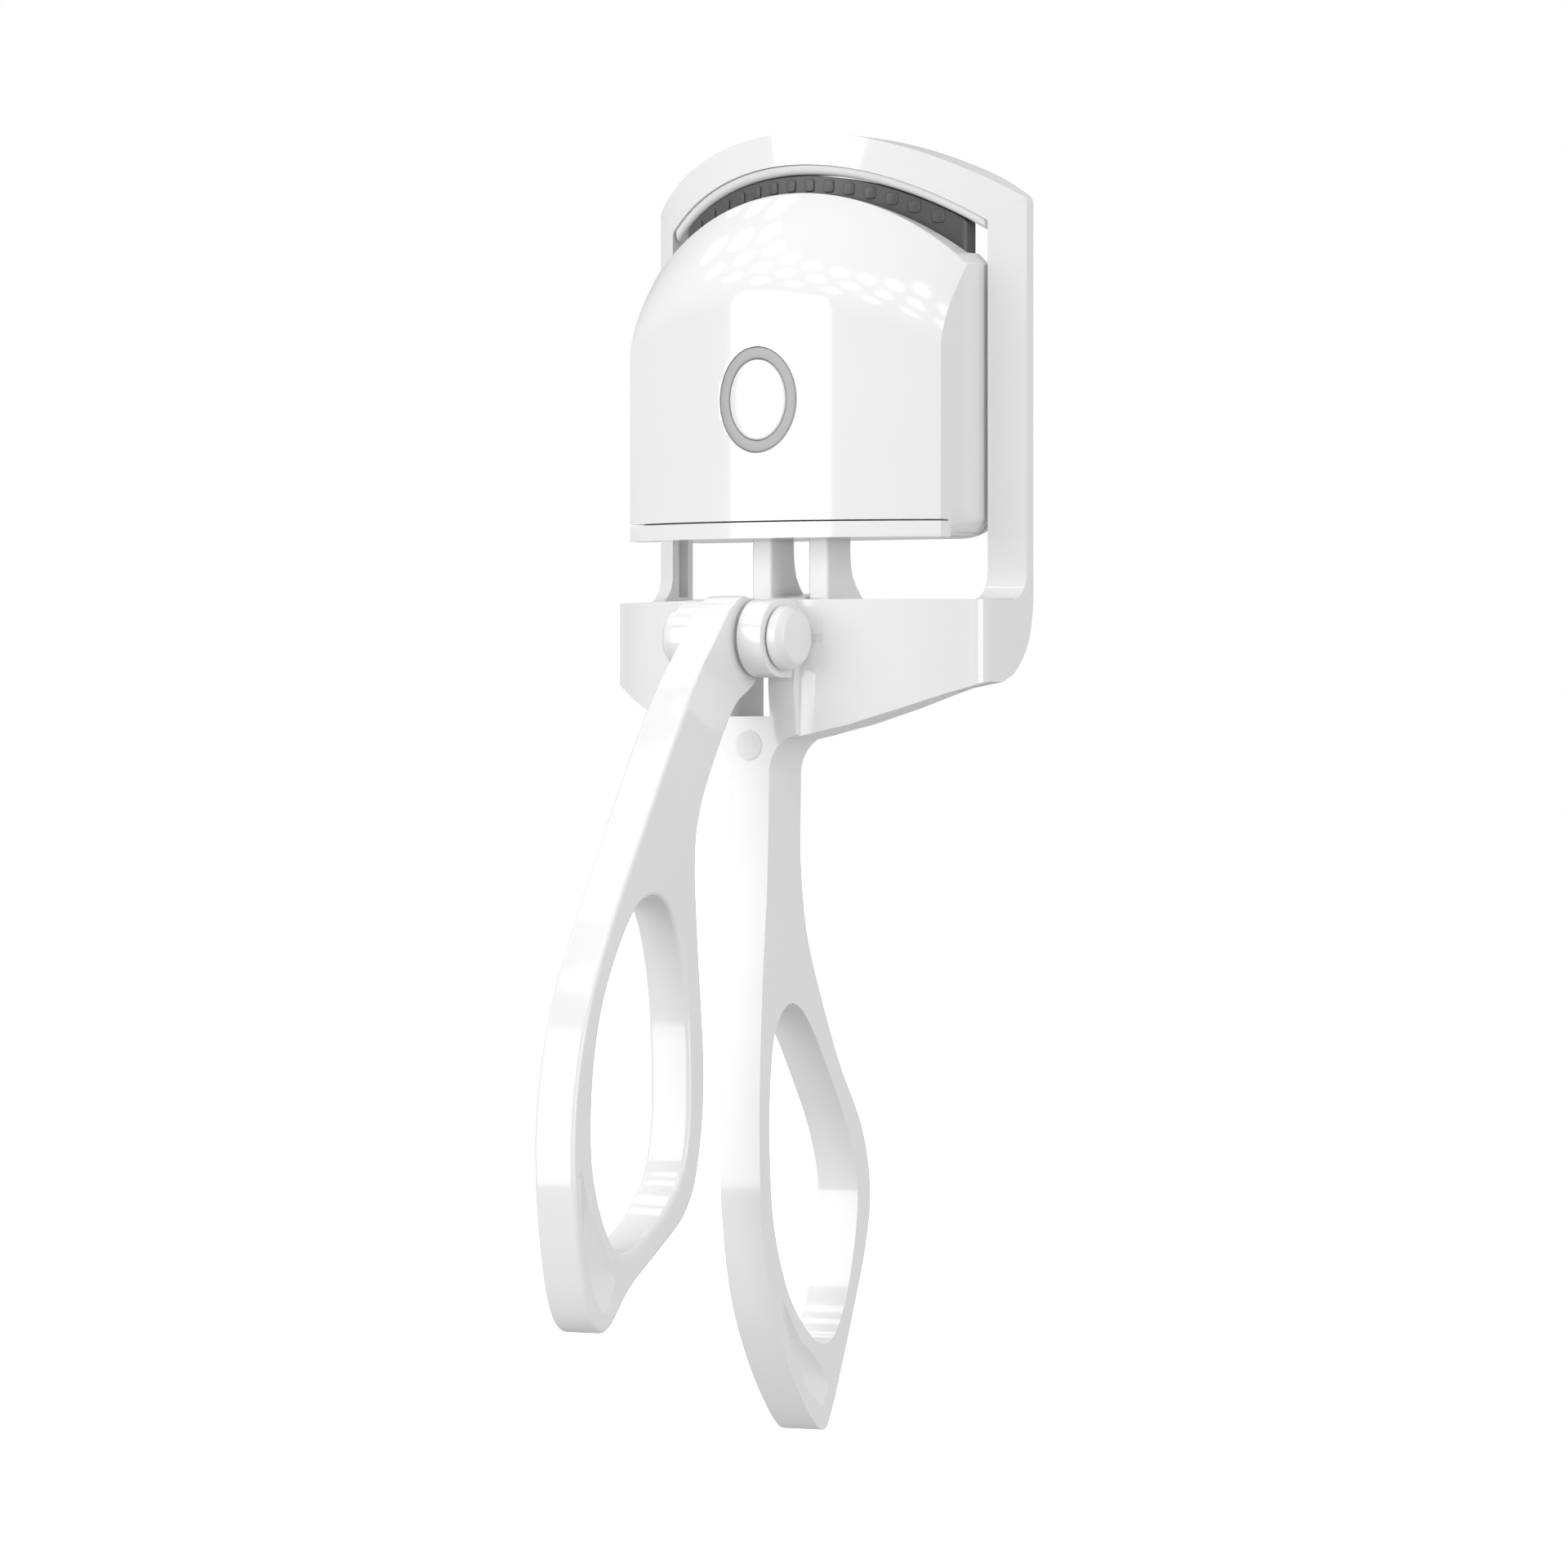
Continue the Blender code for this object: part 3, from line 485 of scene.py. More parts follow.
def make_fixed_handle():
    """The blade with its finger loop, spreading at the top into the plate under the yoke."""
    handle = prism("handle", smooth_loop(BLADE), "X", -PLATE_HALF, PLATE_HALF)
    turns = np.linspace(math.pi, 0.556 * math.pi, 16)
    flank = [(HANDLE_HALF + FLANK * (1.0 + math.cos(t)), 1.0 + FLANK * math.sin(t)) for t in turns]
    right = [(HANDLE_HALF, -62.0), *flank, (PLATE_HALF, 11.5)]
    common(handle, prism("spread", right + [(-x, z) for x, z in right[::-1]], "Y", -20.0, 20.0))
    return cut(handle, prism("loop", smooth_loop(BLADE_LOOP), "X", -9.0, 9.0))


def make_hoop():
    """The upper jaw and its two posts, which run forward at the foot into the yoke's top."""
    foot = 12.0
    outer = over_the_arch(JAW_RADIUS, JAW_TOP - JAW_RADIUS, FRAME_HALF, 1.0, foot)
    inner = over_the_arch(SOFFIT_RADIUS, SOFFIT_CENTRE, POST_INNER, 0.5, foot)
    rings = []
    for (xo, zo), (xi, zi) in zip(outer, inner):
        ring = []
        for x, z, near in ((xo, zo, True), (xo, zo, False), (xi, zi, False), (xi, zi, True)):
            rise = min(max((YOKE_TOP + FLARE - z) / FLARE, 0.0), 1.0)
            y = jaw_front(x) - FLARE * (1.0 - math.sqrt(1.0 - rise**2)) if near else jaw_back(x)
            ring.append((x, y, z))
        rings.append(ring)
    return loft("hoop", rings)


def make_yoke():
    """The cross-piece under the posts: bowed in plan, deepest in the middle."""
    under = [(0.0, 3.8), (3.0, 3.9), (5.5, 4.4), (9.5, 5.35), (13.6, 6.75), (17.0, 8.1), (FRAME_HALF, 9.2)]
    right = under + [(FRAME_HALF, YOKE_TOP)]
    yoke = prism("yoke", right + [(-x, z) for x, z in right[:0:-1]], "Y", -8.0, 12.0)
    reach = FRAME_HALF - 1.2
    front = [(x, yoke_front(x)) for x in np.linspace(-reach, reach, 61)]
    edge = yoke_front(reach)
    turns = np.linspace(0.25, 1.57, 6)
    bend = [(reach + 1.2 * math.sin(t), edge + 0.5 * t + 1.1 * (1 - math.cos(t))) for t in turns]
    ends = bend + [(FRAME_HALF, FRAME_BACK), (POST_INNER, FRAME_BACK)]
    back = bowed(0.0, YOKE_BACK_RADIUS)
    hollow = [(x, back(x)) for x in np.linspace(POST_INNER, -POST_INNER, 61)]
    plan = front + ends + hollow + [(-x, y) for x, y in ends[::-1]]
    return common(yoke, prism("plan", plan, "Z", 0.0, 20.0))


def make_casting():
    """The whole frame in one piece: hoop, yoke and handle, with the ears, grooves, slot and bore."""
    casting = join(make_hoop(), make_yoke())
    rear = [(11.4, 70.0), (11.2, 19.0), (10.75, 16.0), (10.5, 14.4), (10.1, 13.1), (9.5, 12.0), (8.6, 10.9)]
    rear += [(7.4, 9.9), (5.6, 9.2), (3.0, 8.6), (0.0, 5.0), (0.0, 2.0)]
    common(casting, prism("side", [(-9.0, 2.0), (-9.0, 70.0), *rear], "X", -25.0, 25.0))
    join(casting, make_fixed_handle())
    turns = np.linspace(0.5 * math.pi, 1.5 * math.pi, 25)
    nose = [(PIVOT[0] + EAR[2] * math.cos(t), PIVOT[1] + EAR[2] * math.sin(t)) for t in turns]
    ear = [*nose, (-3.0, PIVOT[1] - EAR[2]), (-3.0, PIVOT[1] + EAR[2] - 0.1)]
    for side in (-1, 1):
        join(casting, prism("ear", ear, "X", *sorted((side * EAR[0], side * EAR[1]))))
        room = prism("head_room", ring_of(*PIVOT, 3.1, 48), "X", *sorted((side * EAR[1], side * 7.2)))
        span = sorted((side * (POST_INNER - 1.0), side * (POST_INNER + 1.0)))
        cut(casting, room, box("groove", (span[0], 8.5, 17.3), (span[1], 10.0, 47.0)))
    cut(casting, box("slot", (-SLOT_HALF, -14.0, SLOT_BOTTOM), (SLOT_HALF, 4.0, 20.0)))
    cut(casting, prism("bore", ring_of(*PIVOT, 1.35, 32), "X", -8.0, 8.0))
    soften(casting, 0.38, 34.0)
    for side in (-1, 1):
        cut(casting, leaf_cutter(BLADE_LEAF, BLADE_LEAF_DEEP, side))
    return weigh(casting)


def make_lever():
    """The moving handle: finger loop, round head on the pivot, and the short arm that lifts the head."""
    holes = [smooth_loop(LEVER_LOOP)]
    lever = plate("lever", smooth_loop(LEVER), holes, "X", -HANDLE_HALF, HANDLE_HALF, 0.45)
    for side in (-1, 1):
        cut(lever, leaf_cutter(LEVER_LEAF, LEVER_LEAF_DEEP, side))
        waist = [(1.85, 30.0), (1.85, 10.4), (2.2, 5.6), (6.0, 5.6), (6.0, 30.0)]
        rings = [[(side * x, y, z - 0.25 * (y + 15.8)) for x, z in waist] for y in (-26.0, -5.0)]
        cut(lever, loft("waist", rings), box("waist", (1.85 * side, -5.1, 5.0), (6.0 * side, 12.0, 30.0)))
    tilt = math.atan2(LINK[1] - PIVOT[1], LINK[0] - PIVOT[0])
    reach = 15.15
    tail = [(PIVOT[0] + reach * math.cos(tilt), PIVOT[1] + reach * math.sin(tilt))]
    turns = np.linspace(-0.42 * math.pi, 0.56 * math.pi, 20)
    end = [(tail[0][0] + 2.9 * math.cos(t), tail[0][1] + 2.9 * math.sin(t)) for t in turns]
    arm = [(PIVOT[0], 16.4), (PIVOT[0], 9.9), (-3.0, 9.7), (2.0, 10.2), (5.4, 11.75), *end]
    join(lever, prism("arm", arm, "X", -1.7, 1.7))
    join(lever, prism("knuckle", ring_of(*PIVOT, 3.6, 64), "X", -1.85, 1.85))
    cut(lever, prism("bore", ring_of(*PIVOT, 1.35, 32), "X", -8.0, 8.0))
    return soften(lever, 0.22, 58.0, sharp=38.0)


# ---------------------------------------------------------------- pad, comb and small round parts


def arc_rings(front, depth, half, top, tall, radii, ends=0.5, columns=70):
    """A bar that follows the jaw's arc and bow, with rounded ends."""
    rings = []
    for i in range(columns + 1):
        x = half * math.sin(0.5 * math.pi * (2.0 * i / columns - 1.0))
        near_end = max(0.0, abs(x) - (half - ends)) / ends
        shrink = ends * (1.0 - math.sqrt(max(0.0, 1.0 - near_end**2))) * 0.8
        z_top = SOFFIT_CENTRE + math.sqrt(top**2 - x**2) - shrink
        z_low = SOFFIT_CENTRE + math.sqrt((top - tall) ** 2 - x**2) + shrink
        y0, y1 = front(x) + shrink, front(x) + depth - shrink
        ring = []
        for u, v in rounded_square(radii, (z_top - z_low, y1 - y0)):
            ring.append((x, y0 + (y1 - y0) * v, z_top + (z_low - z_top) * u))
        rings.append(ring)
    return rings


def make_pad():
    """The silicone lip under the jaw, rounder at its lower edges."""
    edges = (0.1, 0.75, 0.75, 0.1)
    front = bowed(PAD_FRONT, PLAN_RADIUS)
    lip = arc_rings(front, PAD_DEPTH, PAD_HALF, PAD_RADIUS + PAD_TALL, PAD_TALL, edges, 0.3)
    return weigh(loft("silicone_pad", lip, 60.0))


def make_comb():
    """The comb's arched bar and the row of low rounded teeth on its front."""
    edges = (0.1, 0.2, 0.2, 0.1)
    bar = loft("comb_bar", arc_rings(comb_plan, COMB_DEPTH, COMB_HALF, COMB_RADIUS, COMB_TALL, edges))
    teeth = []
    for i in range(TOOTH_COUNT):
        x = TOOTH_PITCH * (i - 0.5 * (TOOTH_COUNT - 1))
        top = SOFFIT_CENTRE + math.sqrt(COMB_RADIUS**2 - x**2) - 0.3
        left, right, foot = x - TOOTH_HALF, x + TOOTH_HALF, top - TOOTH_TALL
        corners = [(left, top), (left, foot), (right, foot), (right, top)]
        tooth = plate("tooth", rounded(corners, 0.3, 4), [], "Y", -0.16, 0.6, 0.1, 3)
        for vert in tooth.data.vertices:
            vert.co.y += comb_plan(vert.co.x / MM) * MM
        teeth.append(tooth)
    return gather("comb", bar, *teeth)


def turned_part(name, profile, centre, side, sides=64):
    """A part turned about an X axis: profile holds (x, radius) pairs."""
    rings = [[(side * x, y, z) for y, z in ring_of(*centre, radius, sides)] for x, radius in profile]
    return weigh(loft(name, rings), 30.0)


def make_pin_head(name, side):
    """One end of the hinge pin, outside its ear: a round head with a chamfered rim."""
    profile = [(EAR[1] + 0.1, 2.7), (EAR[1] + 0.3, 2.9), (5.85, 2.9), (5.97, 2.87), (6.05, 2.8), (6.42, 2.43)]
    profile += [(6.52, 2.33), (6.58, 2.2), (6.6, 2.05), (6.6, 0.5)]
    return turned_part(name, profile, PIVOT, side)


def make_oval_piece(name, outer, inner, lift, crown):
    """A piece let into the head's face: a band if inner is given, or else a slightly crowned disc."""
    depth = 1.1
    rows = [(outer, depth), (outer, 0.12), (outer - 0.03, 0.06), (outer - 0.1, 0.015), (outer - 0.2, 0.0)]
    if inner:
        rows += [(inner + 0.2, 0.0), (inner + 0.1, 0.015), (inner + 0.03, 0.06)]
        rows += [(inner, 0.12), (inner, depth)]
    else:
        rows += [((outer - 0.2) * s, 0.0) for s in (0.85, 0.65, 0.45, 0.25, 0.08)]
    rings = []
    for radius, down in rows:
        ring = []
        for x, z in oval(BUTTON_Z, (radius, radius + OVAL_TALLER)):
            swell = crown * (1.0 - (x / outer) ** 2 - ((z - BUTTON_Z) / (outer + OVAL_TALLER)) ** 2)
            ring.append((x, head_plan(x) - lift - max(swell, 0.0) + down, z))
        rings.append(ring)
    shape = bmesh.new()
    rows = [[shape.verts.new(point) for point in ring] for ring in rings]
    count = len(rows[0])
    pairs = list(zip(rows, rows[1:]))
    if inner:
        pairs.append((rows[-1], rows[0]))
    for near, far in pairs:
        for i in range(count):
            j = (i + 1) % count
            shape.faces.new((near[i], near[j], far[j], far[i]))
    if not inner:
        shape.faces.new(rows[0])
        shape.faces.new(rows[-1])
    return weigh(finish_mesh(name, shape, 60.0))


# ---------------------------------------------------------------- the head


def head_blank(name, half, bottom, depth, columns=72, rows=44):
    """A closed solid with the head's bowed face in front and a flat back."""
    across = [half * math.sin(0.5 * math.pi * s) for s in np.linspace(-1.0, 1.0, columns + 1)]
    heights = [0.0, *(0.3 + 0.7 * math.sin(0.5 * math.pi * i / (rows - 1)) for i in range(rows))]
    shape = bmesh.new()
    sheets = []
    for back in (False, True):
        sheet = []
        for x in across:
            top = rim_height(x) - depth
            levels = [bottom + (top - bottom) * h for h in heights]
            across_y = [12.0 if back else head_front_y(x, z, depth) for z in levels]
            sheet.append([shape.verts.new((x, y, z)) for y, z in zip(across_y, levels)])
        sheets.append(sheet)
    face, rear = sheets
    for sheet in sheets:
        for i in range(columns):
            for j in range(rows):
                shape.faces.new((sheet[i][j], sheet[i + 1][j], sheet[i + 1][j + 1], sheet[i][j + 1]))
    for i in range(columns):
        for j in (0, rows):
            shape.faces.new((face[i][j], face[i + 1][j], rear[i + 1][j], rear[i][j]))
    for i in (0, columns):
        for j in range(rows):
            shape.faces.new((face[i][j], face[i][j + 1], rear[i][j + 1], rear[i][j]))
    return finish_mesh(name, shape)


def plan_band(front, back, half, steps=60):
    across = np.linspace(-half, half, steps + 1)
    return [(x, front(x)) for x in across] + [(x, back(x)) for x in across[::-1]]


def parting_band(gap, half):
    """Plan of what lies behind the front shell: the comb's arc in the middle, straight past the cheeks."""
    comb_side = bowed(RIM_FRONT + 0.3 + gap, PLAN_RADIUS)
    middle = [(x, comb_side(x)) for x in np.linspace(-CHEEK_X, CHEEK_X, 61)]
    step = SIDE_PARTING_Y + gap
    ends = [(CHEEK_X, step), (half, step), (half, 20.0), (-half, 20.0), (-half, step), (-CHEEK_X, step)]
    return [*middle, *ends]


def trim_sides(shell):
    """The taper behind the side facet, and the rounded rear lower corners."""
    for side in (-1, 1):
        taper = [(side * HEAD_HALF, SIDE_EDGE_Y), (side * (HEAD_HALF - SIDE_TAPER), 12.0)]
        taper += [(side * 25.0, 12.0), (side * 25.0, SIDE_EDGE_Y)]
        cut(shell, prism("taper", taper, "Z", 0.0, 70.0), lower_corner(side))


def lower_corner(side):
    turns = np.linspace(0.0, -0.5 * math.pi, 14)
    centre = (HEAD_HALF - CORNER, HEAD_BOTTOM + CORNER)
    arc = [(centre[0] + CORNER * math.cos(t), centre[1] + CORNER * math.sin(t)) for t in turns]
    outline = [(side * x, z) for x, z in [*arc, (centre[0], 20.0), (22.0, 20.0), (22.0, centre[1])]]
    return prism("corner", outline, "Y", 1.7, 14.0)


def rear_edge():
    """What is cut off the head's lower rear edge."""
    turns = np.linspace(0.0, -0.5 * math.pi, 14)
    centre = (REAR_EDGE_Y, HEAD_BOTTOM + CORNER)
    arc = [(centre[0] + CORNER * math.cos(t), centre[1] + CORNER * math.sin(t)) for t in turns]
    return prism("rear_edge", [*arc, (centre[0], 20.0), (15.0, 20.0), (15.0, centre[1])], "X", -25.0, 25.0)


def make_front_shell():
    shell = head_blank("shell", HEAD_HALF, HEAD_BOTTOM, 0.0)
    cut(shell, box("cover_room", (-30.0, -20.0, 20.0), (30.0, CHEEK_Y, SEAM_Z + 0.07)))
    cut(shell, box("cover_room", (-CHEEK_X, -20.0, 20.0), (CHEEK_X, 20.0, SEAM_Z + 0.07)))
    cut(shell, head_blank("inside", HEAD_HALF - HEAD_WALL, SEAM_Z - 3.0, HEAD_WALL))
    cut(shell, prism("behind", parting_band(0.0, HEAD_HALF + 2.0), "Z", 0.0, 70.0), rear_edge())
    trim_sides(shell)
    cut(shell, prism("ring_hole", oval(BUTTON_Z, [r + 0.06 for r in RING_HALF]), "Y", -8.0, 0.0))
    return soften(shell, 0.28, 36.0)


def head_elevation(half, bottom, drop):
    across = np.linspace(-half, half, 61)
    return [(-half, bottom), (half, bottom)] + [(x, rim_height(x) - drop) for x in across[::-1]]


def make_rear_shell():
    half = HEAD_HALF - SIDE_TAPER
    shell = prism("rear", head_elevation(half, HEAD_BOTTOM, 0.9), "Y", -2.0, 14.0)
    cut(shell, box("cover_room", (-CHEEK_X, -20.0, 20.0), (CHEEK_X, 20.0, SEAM_Z + 0.07)))
    outer = plan_band(lambda x: -2.0, head_back, half)
    common(shell, prism("plan", outer, "Z", 0.0, 70.0))
    common(shell, prism("behind", parting_band(0.3, half), "Z", 0.0, 70.0))
    cut(shell, rear_edge())
    inner = plan_band(lambda x: -6.0, lambda x: head_back(x) - HEAD_WALL, half - HEAD_WALL)
    room = prism("room", head_elevation(half - HEAD_WALL, SEAM_Z - 3.0, 2.3), "Y", -8.0, 14.0)
    cut(shell, common(room, prism("plan", inner, "Z", 0.0, 70.0)))
    slot = plan_band(lambda x: -4.0, bowed(COMB_FRONT + 2.2, PLAN_RADIUS), COMB_HALF + 0.3)
    cut(shell, prism("comb_slot", slot, "Z", 43.5, 70.0))
    for side in (-1, 1):
        span = sorted((side * (half - 0.6), side * (POST_INNER + 0.65)))
        cut(shell, lower_corner(side))
        join(shell, box("tongue", (span[0], 8.7, 26.0), (span[1], 9.8, 41.5)))
    cut(shell, prism("socket_hole", oval(SOCKET_Z, (4.8, 1.95)), "Y", 5.0, 12.0))
    return soften(shell, 0.3, 36.0)


def make_bottom_cover():
    cover = head_blank("cover", HEAD_HALF, HEAD_BOTTOM, 0.0)
    cut(cover, box("above", (-30.0, -20.0, SEAM_Z - 0.07), (30.0, 20.0, 70.0)))
    behind = plan_band(head_back, lambda x: 20.0, HEAD_HALF + 2.0)
    cut(cover, prism("behind", behind, "Z", 0.0, 70.0), rear_edge())
    trim_sides(cover)
    for side in (-1, 1):
        span = sorted((side * (CHEEK_X - 0.07), side * 30.0))
        cut(cover, box("cheek", (span[0], CHEEK_Y - 0.07, 20.0), (span[1], 20.0, 30.0)))
        span = sorted((side * 1.8, side * 4.3))
        cut(cover, box("arm_hole", (span[0], 0.8, 10.0), (span[1], 5.1, 40.0)))
    return soften(cover, 0.25, 36.0)


def make_fork():
    fork = box("fork", (-9.0, 1.0, 24.2), (9.0, 4.9, 25.8))
    turns = np.linspace(-0.06 * math.pi, -0.75 * math.pi, 16)
    eye = [(LINK[0] + 2.3 * math.cos(t), LINK[1] + 2.3 * math.sin(t)) for t in turns]
    flare = [(4.9, 20.8), (5.0, 20.0), (5.3, 18.9), (5.9, 18.0), (6.6, 17.3), (7.6, 16.5), (8.4, 15.7)]
    outline = [(1.0, 25.0), (4.9, 25.0), *flare, *eye, (2.6, 13.6), (1.0, 15.0)]
    for side in (-1, 1):
        join(fork, prism("arm", outline, "X", *sorted((side * 2.0, side * 4.1))))
    cut(fork, prism("bore", ring_of(*LINK, 1.05, 32), "X", -8.0, 8.0))
    return soften(fork, 0.2, 40.0)


# ---------------------------------------------------------------- materials


def plastic(name, colour, roughness, grain=0.0006, coat=0.0, bump=0.02, mottle=0.02):
    """Moulded plastic: slight tone and gloss variation, and a fine moulded surface."""
    made = bpy.data.materials.new(name)
    made.use_nodes = True
    nodes, links = made.node_tree.nodes, made.node_tree.links
    shader = nodes["Principled BSDF"]
    where = nodes.new("ShaderNodeTexCoord")
    broad = nodes.new("ShaderNodeTexNoise")
    broad.inputs["Scale"].default_value = 90.0
    broad.inputs["Detail"].default_value = 3.0
    fine = nodes.new("ShaderNodeTexNoise")
    fine.inputs["Scale"].default_value = 1.0 / grain
    fine.inputs["Detail"].default_value = 2.0
    for noise in (broad, fine):
        links.new(where.outputs["Object"], noise.inputs["Vector"])
    tone = nodes.new("ShaderNodeValToRGB")
    tone.color_ramp.elements[0].position = 0.3
    tone.color_ramp.elements[1].position = 0.7
    tone.color_ramp.elements[0].color = (*[c * (1.0 - mottle) for c in colour], 1.0)
    tone.color_ramp.elements[1].color = (*colour, 1.0)
    links.new(broad.outputs["Fac"], tone.inputs["Fac"])
    links.new(tone.outputs["Color"], shader.inputs["Base Color"])
    gloss = nodes.new("ShaderNodeMapRange")
    gloss.inputs["To Min"].default_value = roughness * 0.85
    gloss.inputs["To Max"].default_value = roughness * 1.15
    links.new(fine.outputs["Fac"], gloss.inputs["Value"])
    links.new(gloss.outputs["Result"], shader.inputs["Roughness"])
    relief = nodes.new("ShaderNodeBump")
    relief.inputs["Strength"].default_value = bump
    relief.inputs["Distance"].default_value = 0.0001
    links.new(fine.outputs["Fac"], relief.inputs["Height"])
    links.new(relief.outputs["Normal"], shader.inputs["Normal"])
    shader.inputs["Coat Weight"].default_value = coat
    shader.inputs["Coat Roughness"].default_value = 0.05
    return made


def metal(name, colour, roughness):
    """Turned or stamped metal with fine drawn lines."""
    made = plastic(name, colour, roughness, 0.0003, bump=0.05, mottle=0.06)
    made.node_tree.nodes["Principled BSDF"].inputs["Metallic"].default_value = 1.0
    return made


WHITE = plastic("gloss_white", (0.86, 0.86, 0.86), 0.10, coat=0.3)
PIN_WHITE = plastic("pin_white", (0.84, 0.84, 0.84), 0.2)
SILICONE = plastic("white_silicone", (0.85, 0.85, 0.85), 0.35, 0.0004, bump=0.04)
GREY_RING = plastic("ring_grey", (0.42, 0.42, 0.42), 0.35)
COMB = plastic("comb_grey", (0.085, 0.085, 0.085), 0.42, 0.00025, bump=0.12, mottle=0.15)
STEEL = metal("steel", (0.6, 0.6, 0.61), 0.28)
BOARD = plastic("board_green", (0.03, 0.2, 0.09), 0.4, 0.0008, bump=0.1, mottle=0.3)
CERAMIC = plastic("ceramic", (0.8, 0.78, 0.72), 0.6)
CARRIER = plastic("carrier_grey", (0.2, 0.2, 0.21), 0.55)
LAMP = plastic("lamp", (0.9, 0.9, 0.8), 0.25)


# ---------------------------------------------------------------- the model


def put(piece, name, finish, body, slot, *nodes):
    """Names a piece, gives it its finish and its body, and lets it stand for CAD nodes."""
    piece.name = name
    piece.data.materials.clear()
    piece.data.materials.append(finish)
    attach(piece, body)
    if nodes:
        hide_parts(*nodes)


put(make_casting(), "frame_casting", WHITE, "frame", "white_gloss", "frame")
put(make_pad(), "silicone_pad", SILICONE, "frame", "white_silicone", "jaw_pad")
put(make_pin_head("pin_head", 1), "pin_head", PIN_WHITE, "frame", "white_pin", "pivot_pin")
put(make_pin_head("cap_head", -1), "cap_head", PIN_WHITE, "frame", "white_pin", "pivot_cap")
put(make_lever(), "lever", WHITE, "lever", "white_gloss", "lever_handle")
put(make_front_shell(), "head_front", WHITE, "head", "white_gloss", "front_shell")
put(make_rear_shell(), "head_rear", WHITE, "head", "white_gloss", "rear_shell")
put(make_bottom_cover(), "head_bottom", WHITE, "head", "white_gloss", "bottom_cover")
put(make_fork(), "fork", WHITE, "head", "white_gloss", "slider_fork")
put(make_comb(), "comb", COMB, "head", "comb_grey", "heating_comb")
ring = make_oval_piece("ring", RING_HALF[0], BUTTON_HALF[0] + 0.06, 0.0, 0.0)
put(ring, "ring", GREY_RING, "head", "ring_grey", "light_ring")
button = make_oval_piece("button", BUTTON_HALF[0], None, 0.0, 0.04)
put(button, "button", WHITE, "button", "white_gloss", "power_button")

CARRIED = {
    "stop_bumper": SILICONE, "link_pin": STEEL, "heater_plate": CERAMIC, "comb_carrier": CARRIER,
    "battery": metal("battery_can", (0.62, 0.63, 0.65), 0.35), "circuit_board": BOARD, "tact_switch": COMB,
    "usb_socket": STEEL, "left_lamp": LAMP, "right_lamp": LAMP, "left_screw": STEEL, "right_screw": STEEL,
}
for node, finish in CARRIED.items():
    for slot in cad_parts[node].material_slots:
        slot.material = finish


# ---------------------------------------------------------------- floor, light and camera


def make_floor():
    """A bright floor that the camera sees as white and that doesn't light or mirror in the object."""
    shape = bmesh.new()
    bmesh.ops.create_circle(shape, cap_ends=True, segments=96, radius=12.0)
    mesh = bpy.data.meshes.new("floor")
    shape.to_mesh(mesh)
    shape.free()
    floor = bpy.data.objects.new("floor", mesh)
    bpy.context.collection.objects.link(floor)
    floor.location.z = cad_bounds[0][2] - 0.0004
    paint = plastic("floor_white", (0.92, 0.92, 0.92), 0.9, 0.01)
    paint.node_tree.nodes["Principled BSDF"].inputs["Emission Color"].default_value = (1, 1, 1, 1)
    paint.node_tree.nodes["Principled BSDF"].inputs["Emission Strength"].default_value = 0.9
    floor.visible_diffuse = False
    floor.visible_glossy = False
    mesh.materials.append(paint)


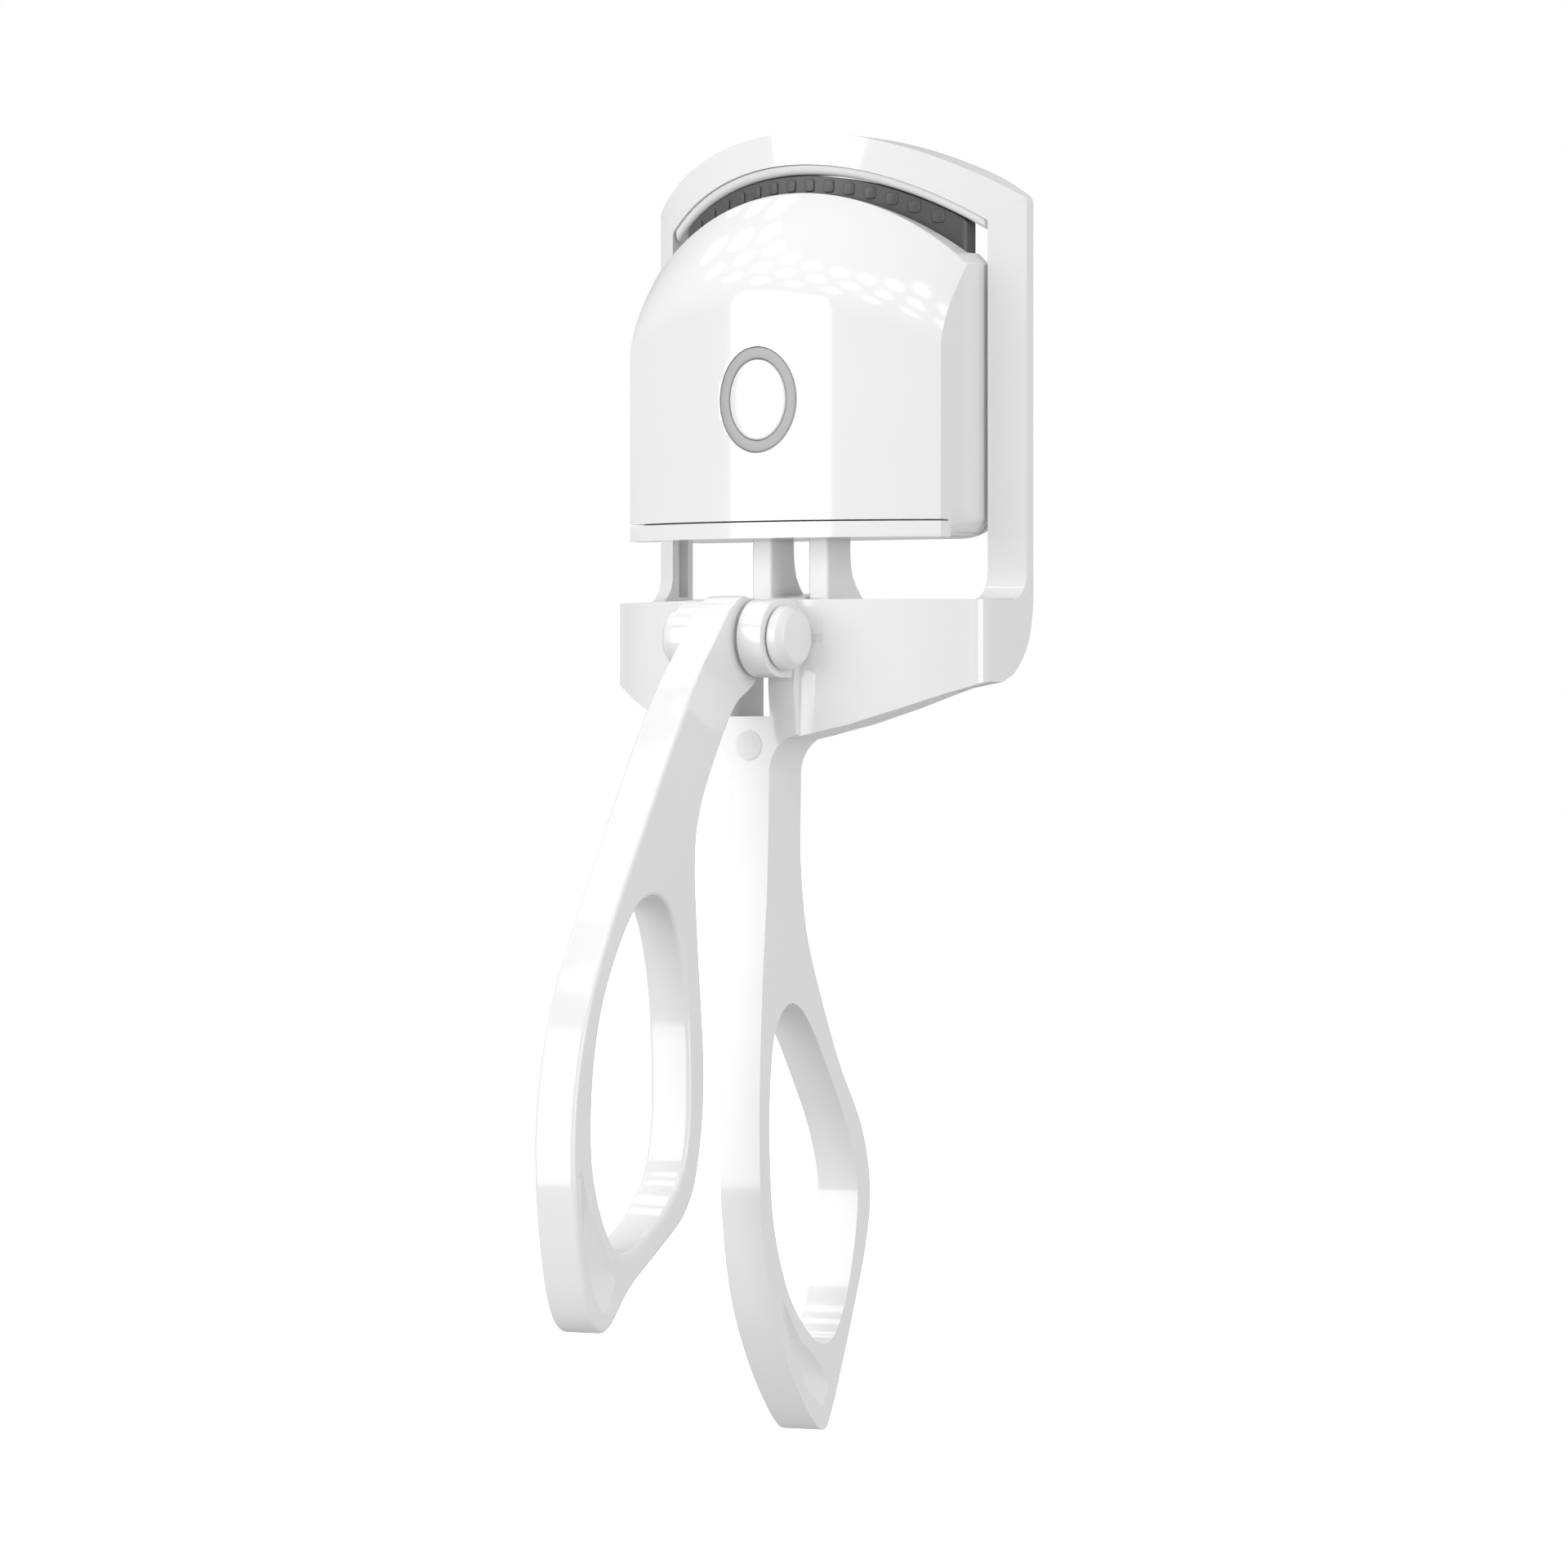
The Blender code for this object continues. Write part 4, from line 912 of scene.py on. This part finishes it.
def area_light(name, azimuth, elevation, distance, size, power, shape="SQUARE"):
    """A light aimed at the object from an azimuth (0 is the -Y side, 90 the +X side) and an elevation."""
    a, e = math.radians(azimuth), math.radians(elevation)
    offset = Vector((math.sin(a) * math.cos(e), -math.cos(a) * math.cos(e), math.sin(e))) * distance
    data = bpy.data.lights.new(name, "AREA")
    data.shape = shape
    data.size = size
    data.energy = power
    lamp = bpy.data.objects.new(name, data)
    lamp.location = offset
    lamp.rotation_euler = (-offset).to_track_quat("-Z", "Y").to_euler()
    bpy.context.collection.objects.link(lamp)
    return lamp


def make_world():
    """A white background for the camera, and softer light from all round, a little stronger from above."""
    world = bpy.data.worlds.new("studio")
    bpy.context.scene.world = world
    world.use_nodes = True
    nodes, links = world.node_tree.nodes, world.node_tree.links
    back = nodes["Background"]
    back.inputs["Color"].default_value = (1.0, 1.0, 1.0, 1.0)
    path = nodes.new("ShaderNodeLightPath")
    where = nodes.new("ShaderNodeTexCoord")
    split = nodes.new("ShaderNodeSeparateXYZ")
    links.new(where.outputs["Generated"], split.inputs["Vector"])
    height = nodes.new("ShaderNodeMapRange")
    height.inputs["From Min"].default_value = -1.0
    height.inputs["To Min"].default_value = 0.50
    height.inputs["To Max"].default_value = 0.61
    links.new(split.outputs["Z"], height.inputs["Value"])
    level = nodes.new("ShaderNodeMapRange")
    links.new(height.outputs["Result"], level.inputs["To Min"])
    level.inputs["To Max"].default_value = 1.0
    links.new(path.outputs["Is Camera Ray"], level.inputs["Value"])
    links.new(level.outputs["Result"], back.inputs["Strength"])


def make_camera():
    """A long lens level with the object's middle, to the right of its front."""
    azimuth = math.radians(CAMERA_AZIMUTH)
    data = bpy.data.cameras.new("camera")
    data.sensor_width = 36.0
    data.lens = CAMERA_LENS
    camera = bpy.data.objects.new("camera", data)
    camera.location = SHIFT + CAMERA_DISTANCE * Vector((math.sin(azimuth), -math.cos(azimuth), 0.0))
    camera.rotation_euler = (0.5 * math.pi, 0.0, azimuth)
    bpy.context.collection.objects.link(camera)
    bpy.context.scene.camera = camera


make_floor()
make_world()
make_camera()
area_light("key", -25.0, 8.0, 1.2, 0.8, 6.7)
area_light("fill", 78.0, 6.0, 1.2, 0.6, 4.2)
for row, (elevation, first) in enumerate(GLINT_ROWS):
    for column in range(GLINT_COLUMNS):
        area_light(f"spot_{row}_{column}", first + GLINT_PITCH * column, elevation, 1.0, 0.12, 0.11, "DISK")
bpy.context.scene.view_settings.view_transform = "Standard"
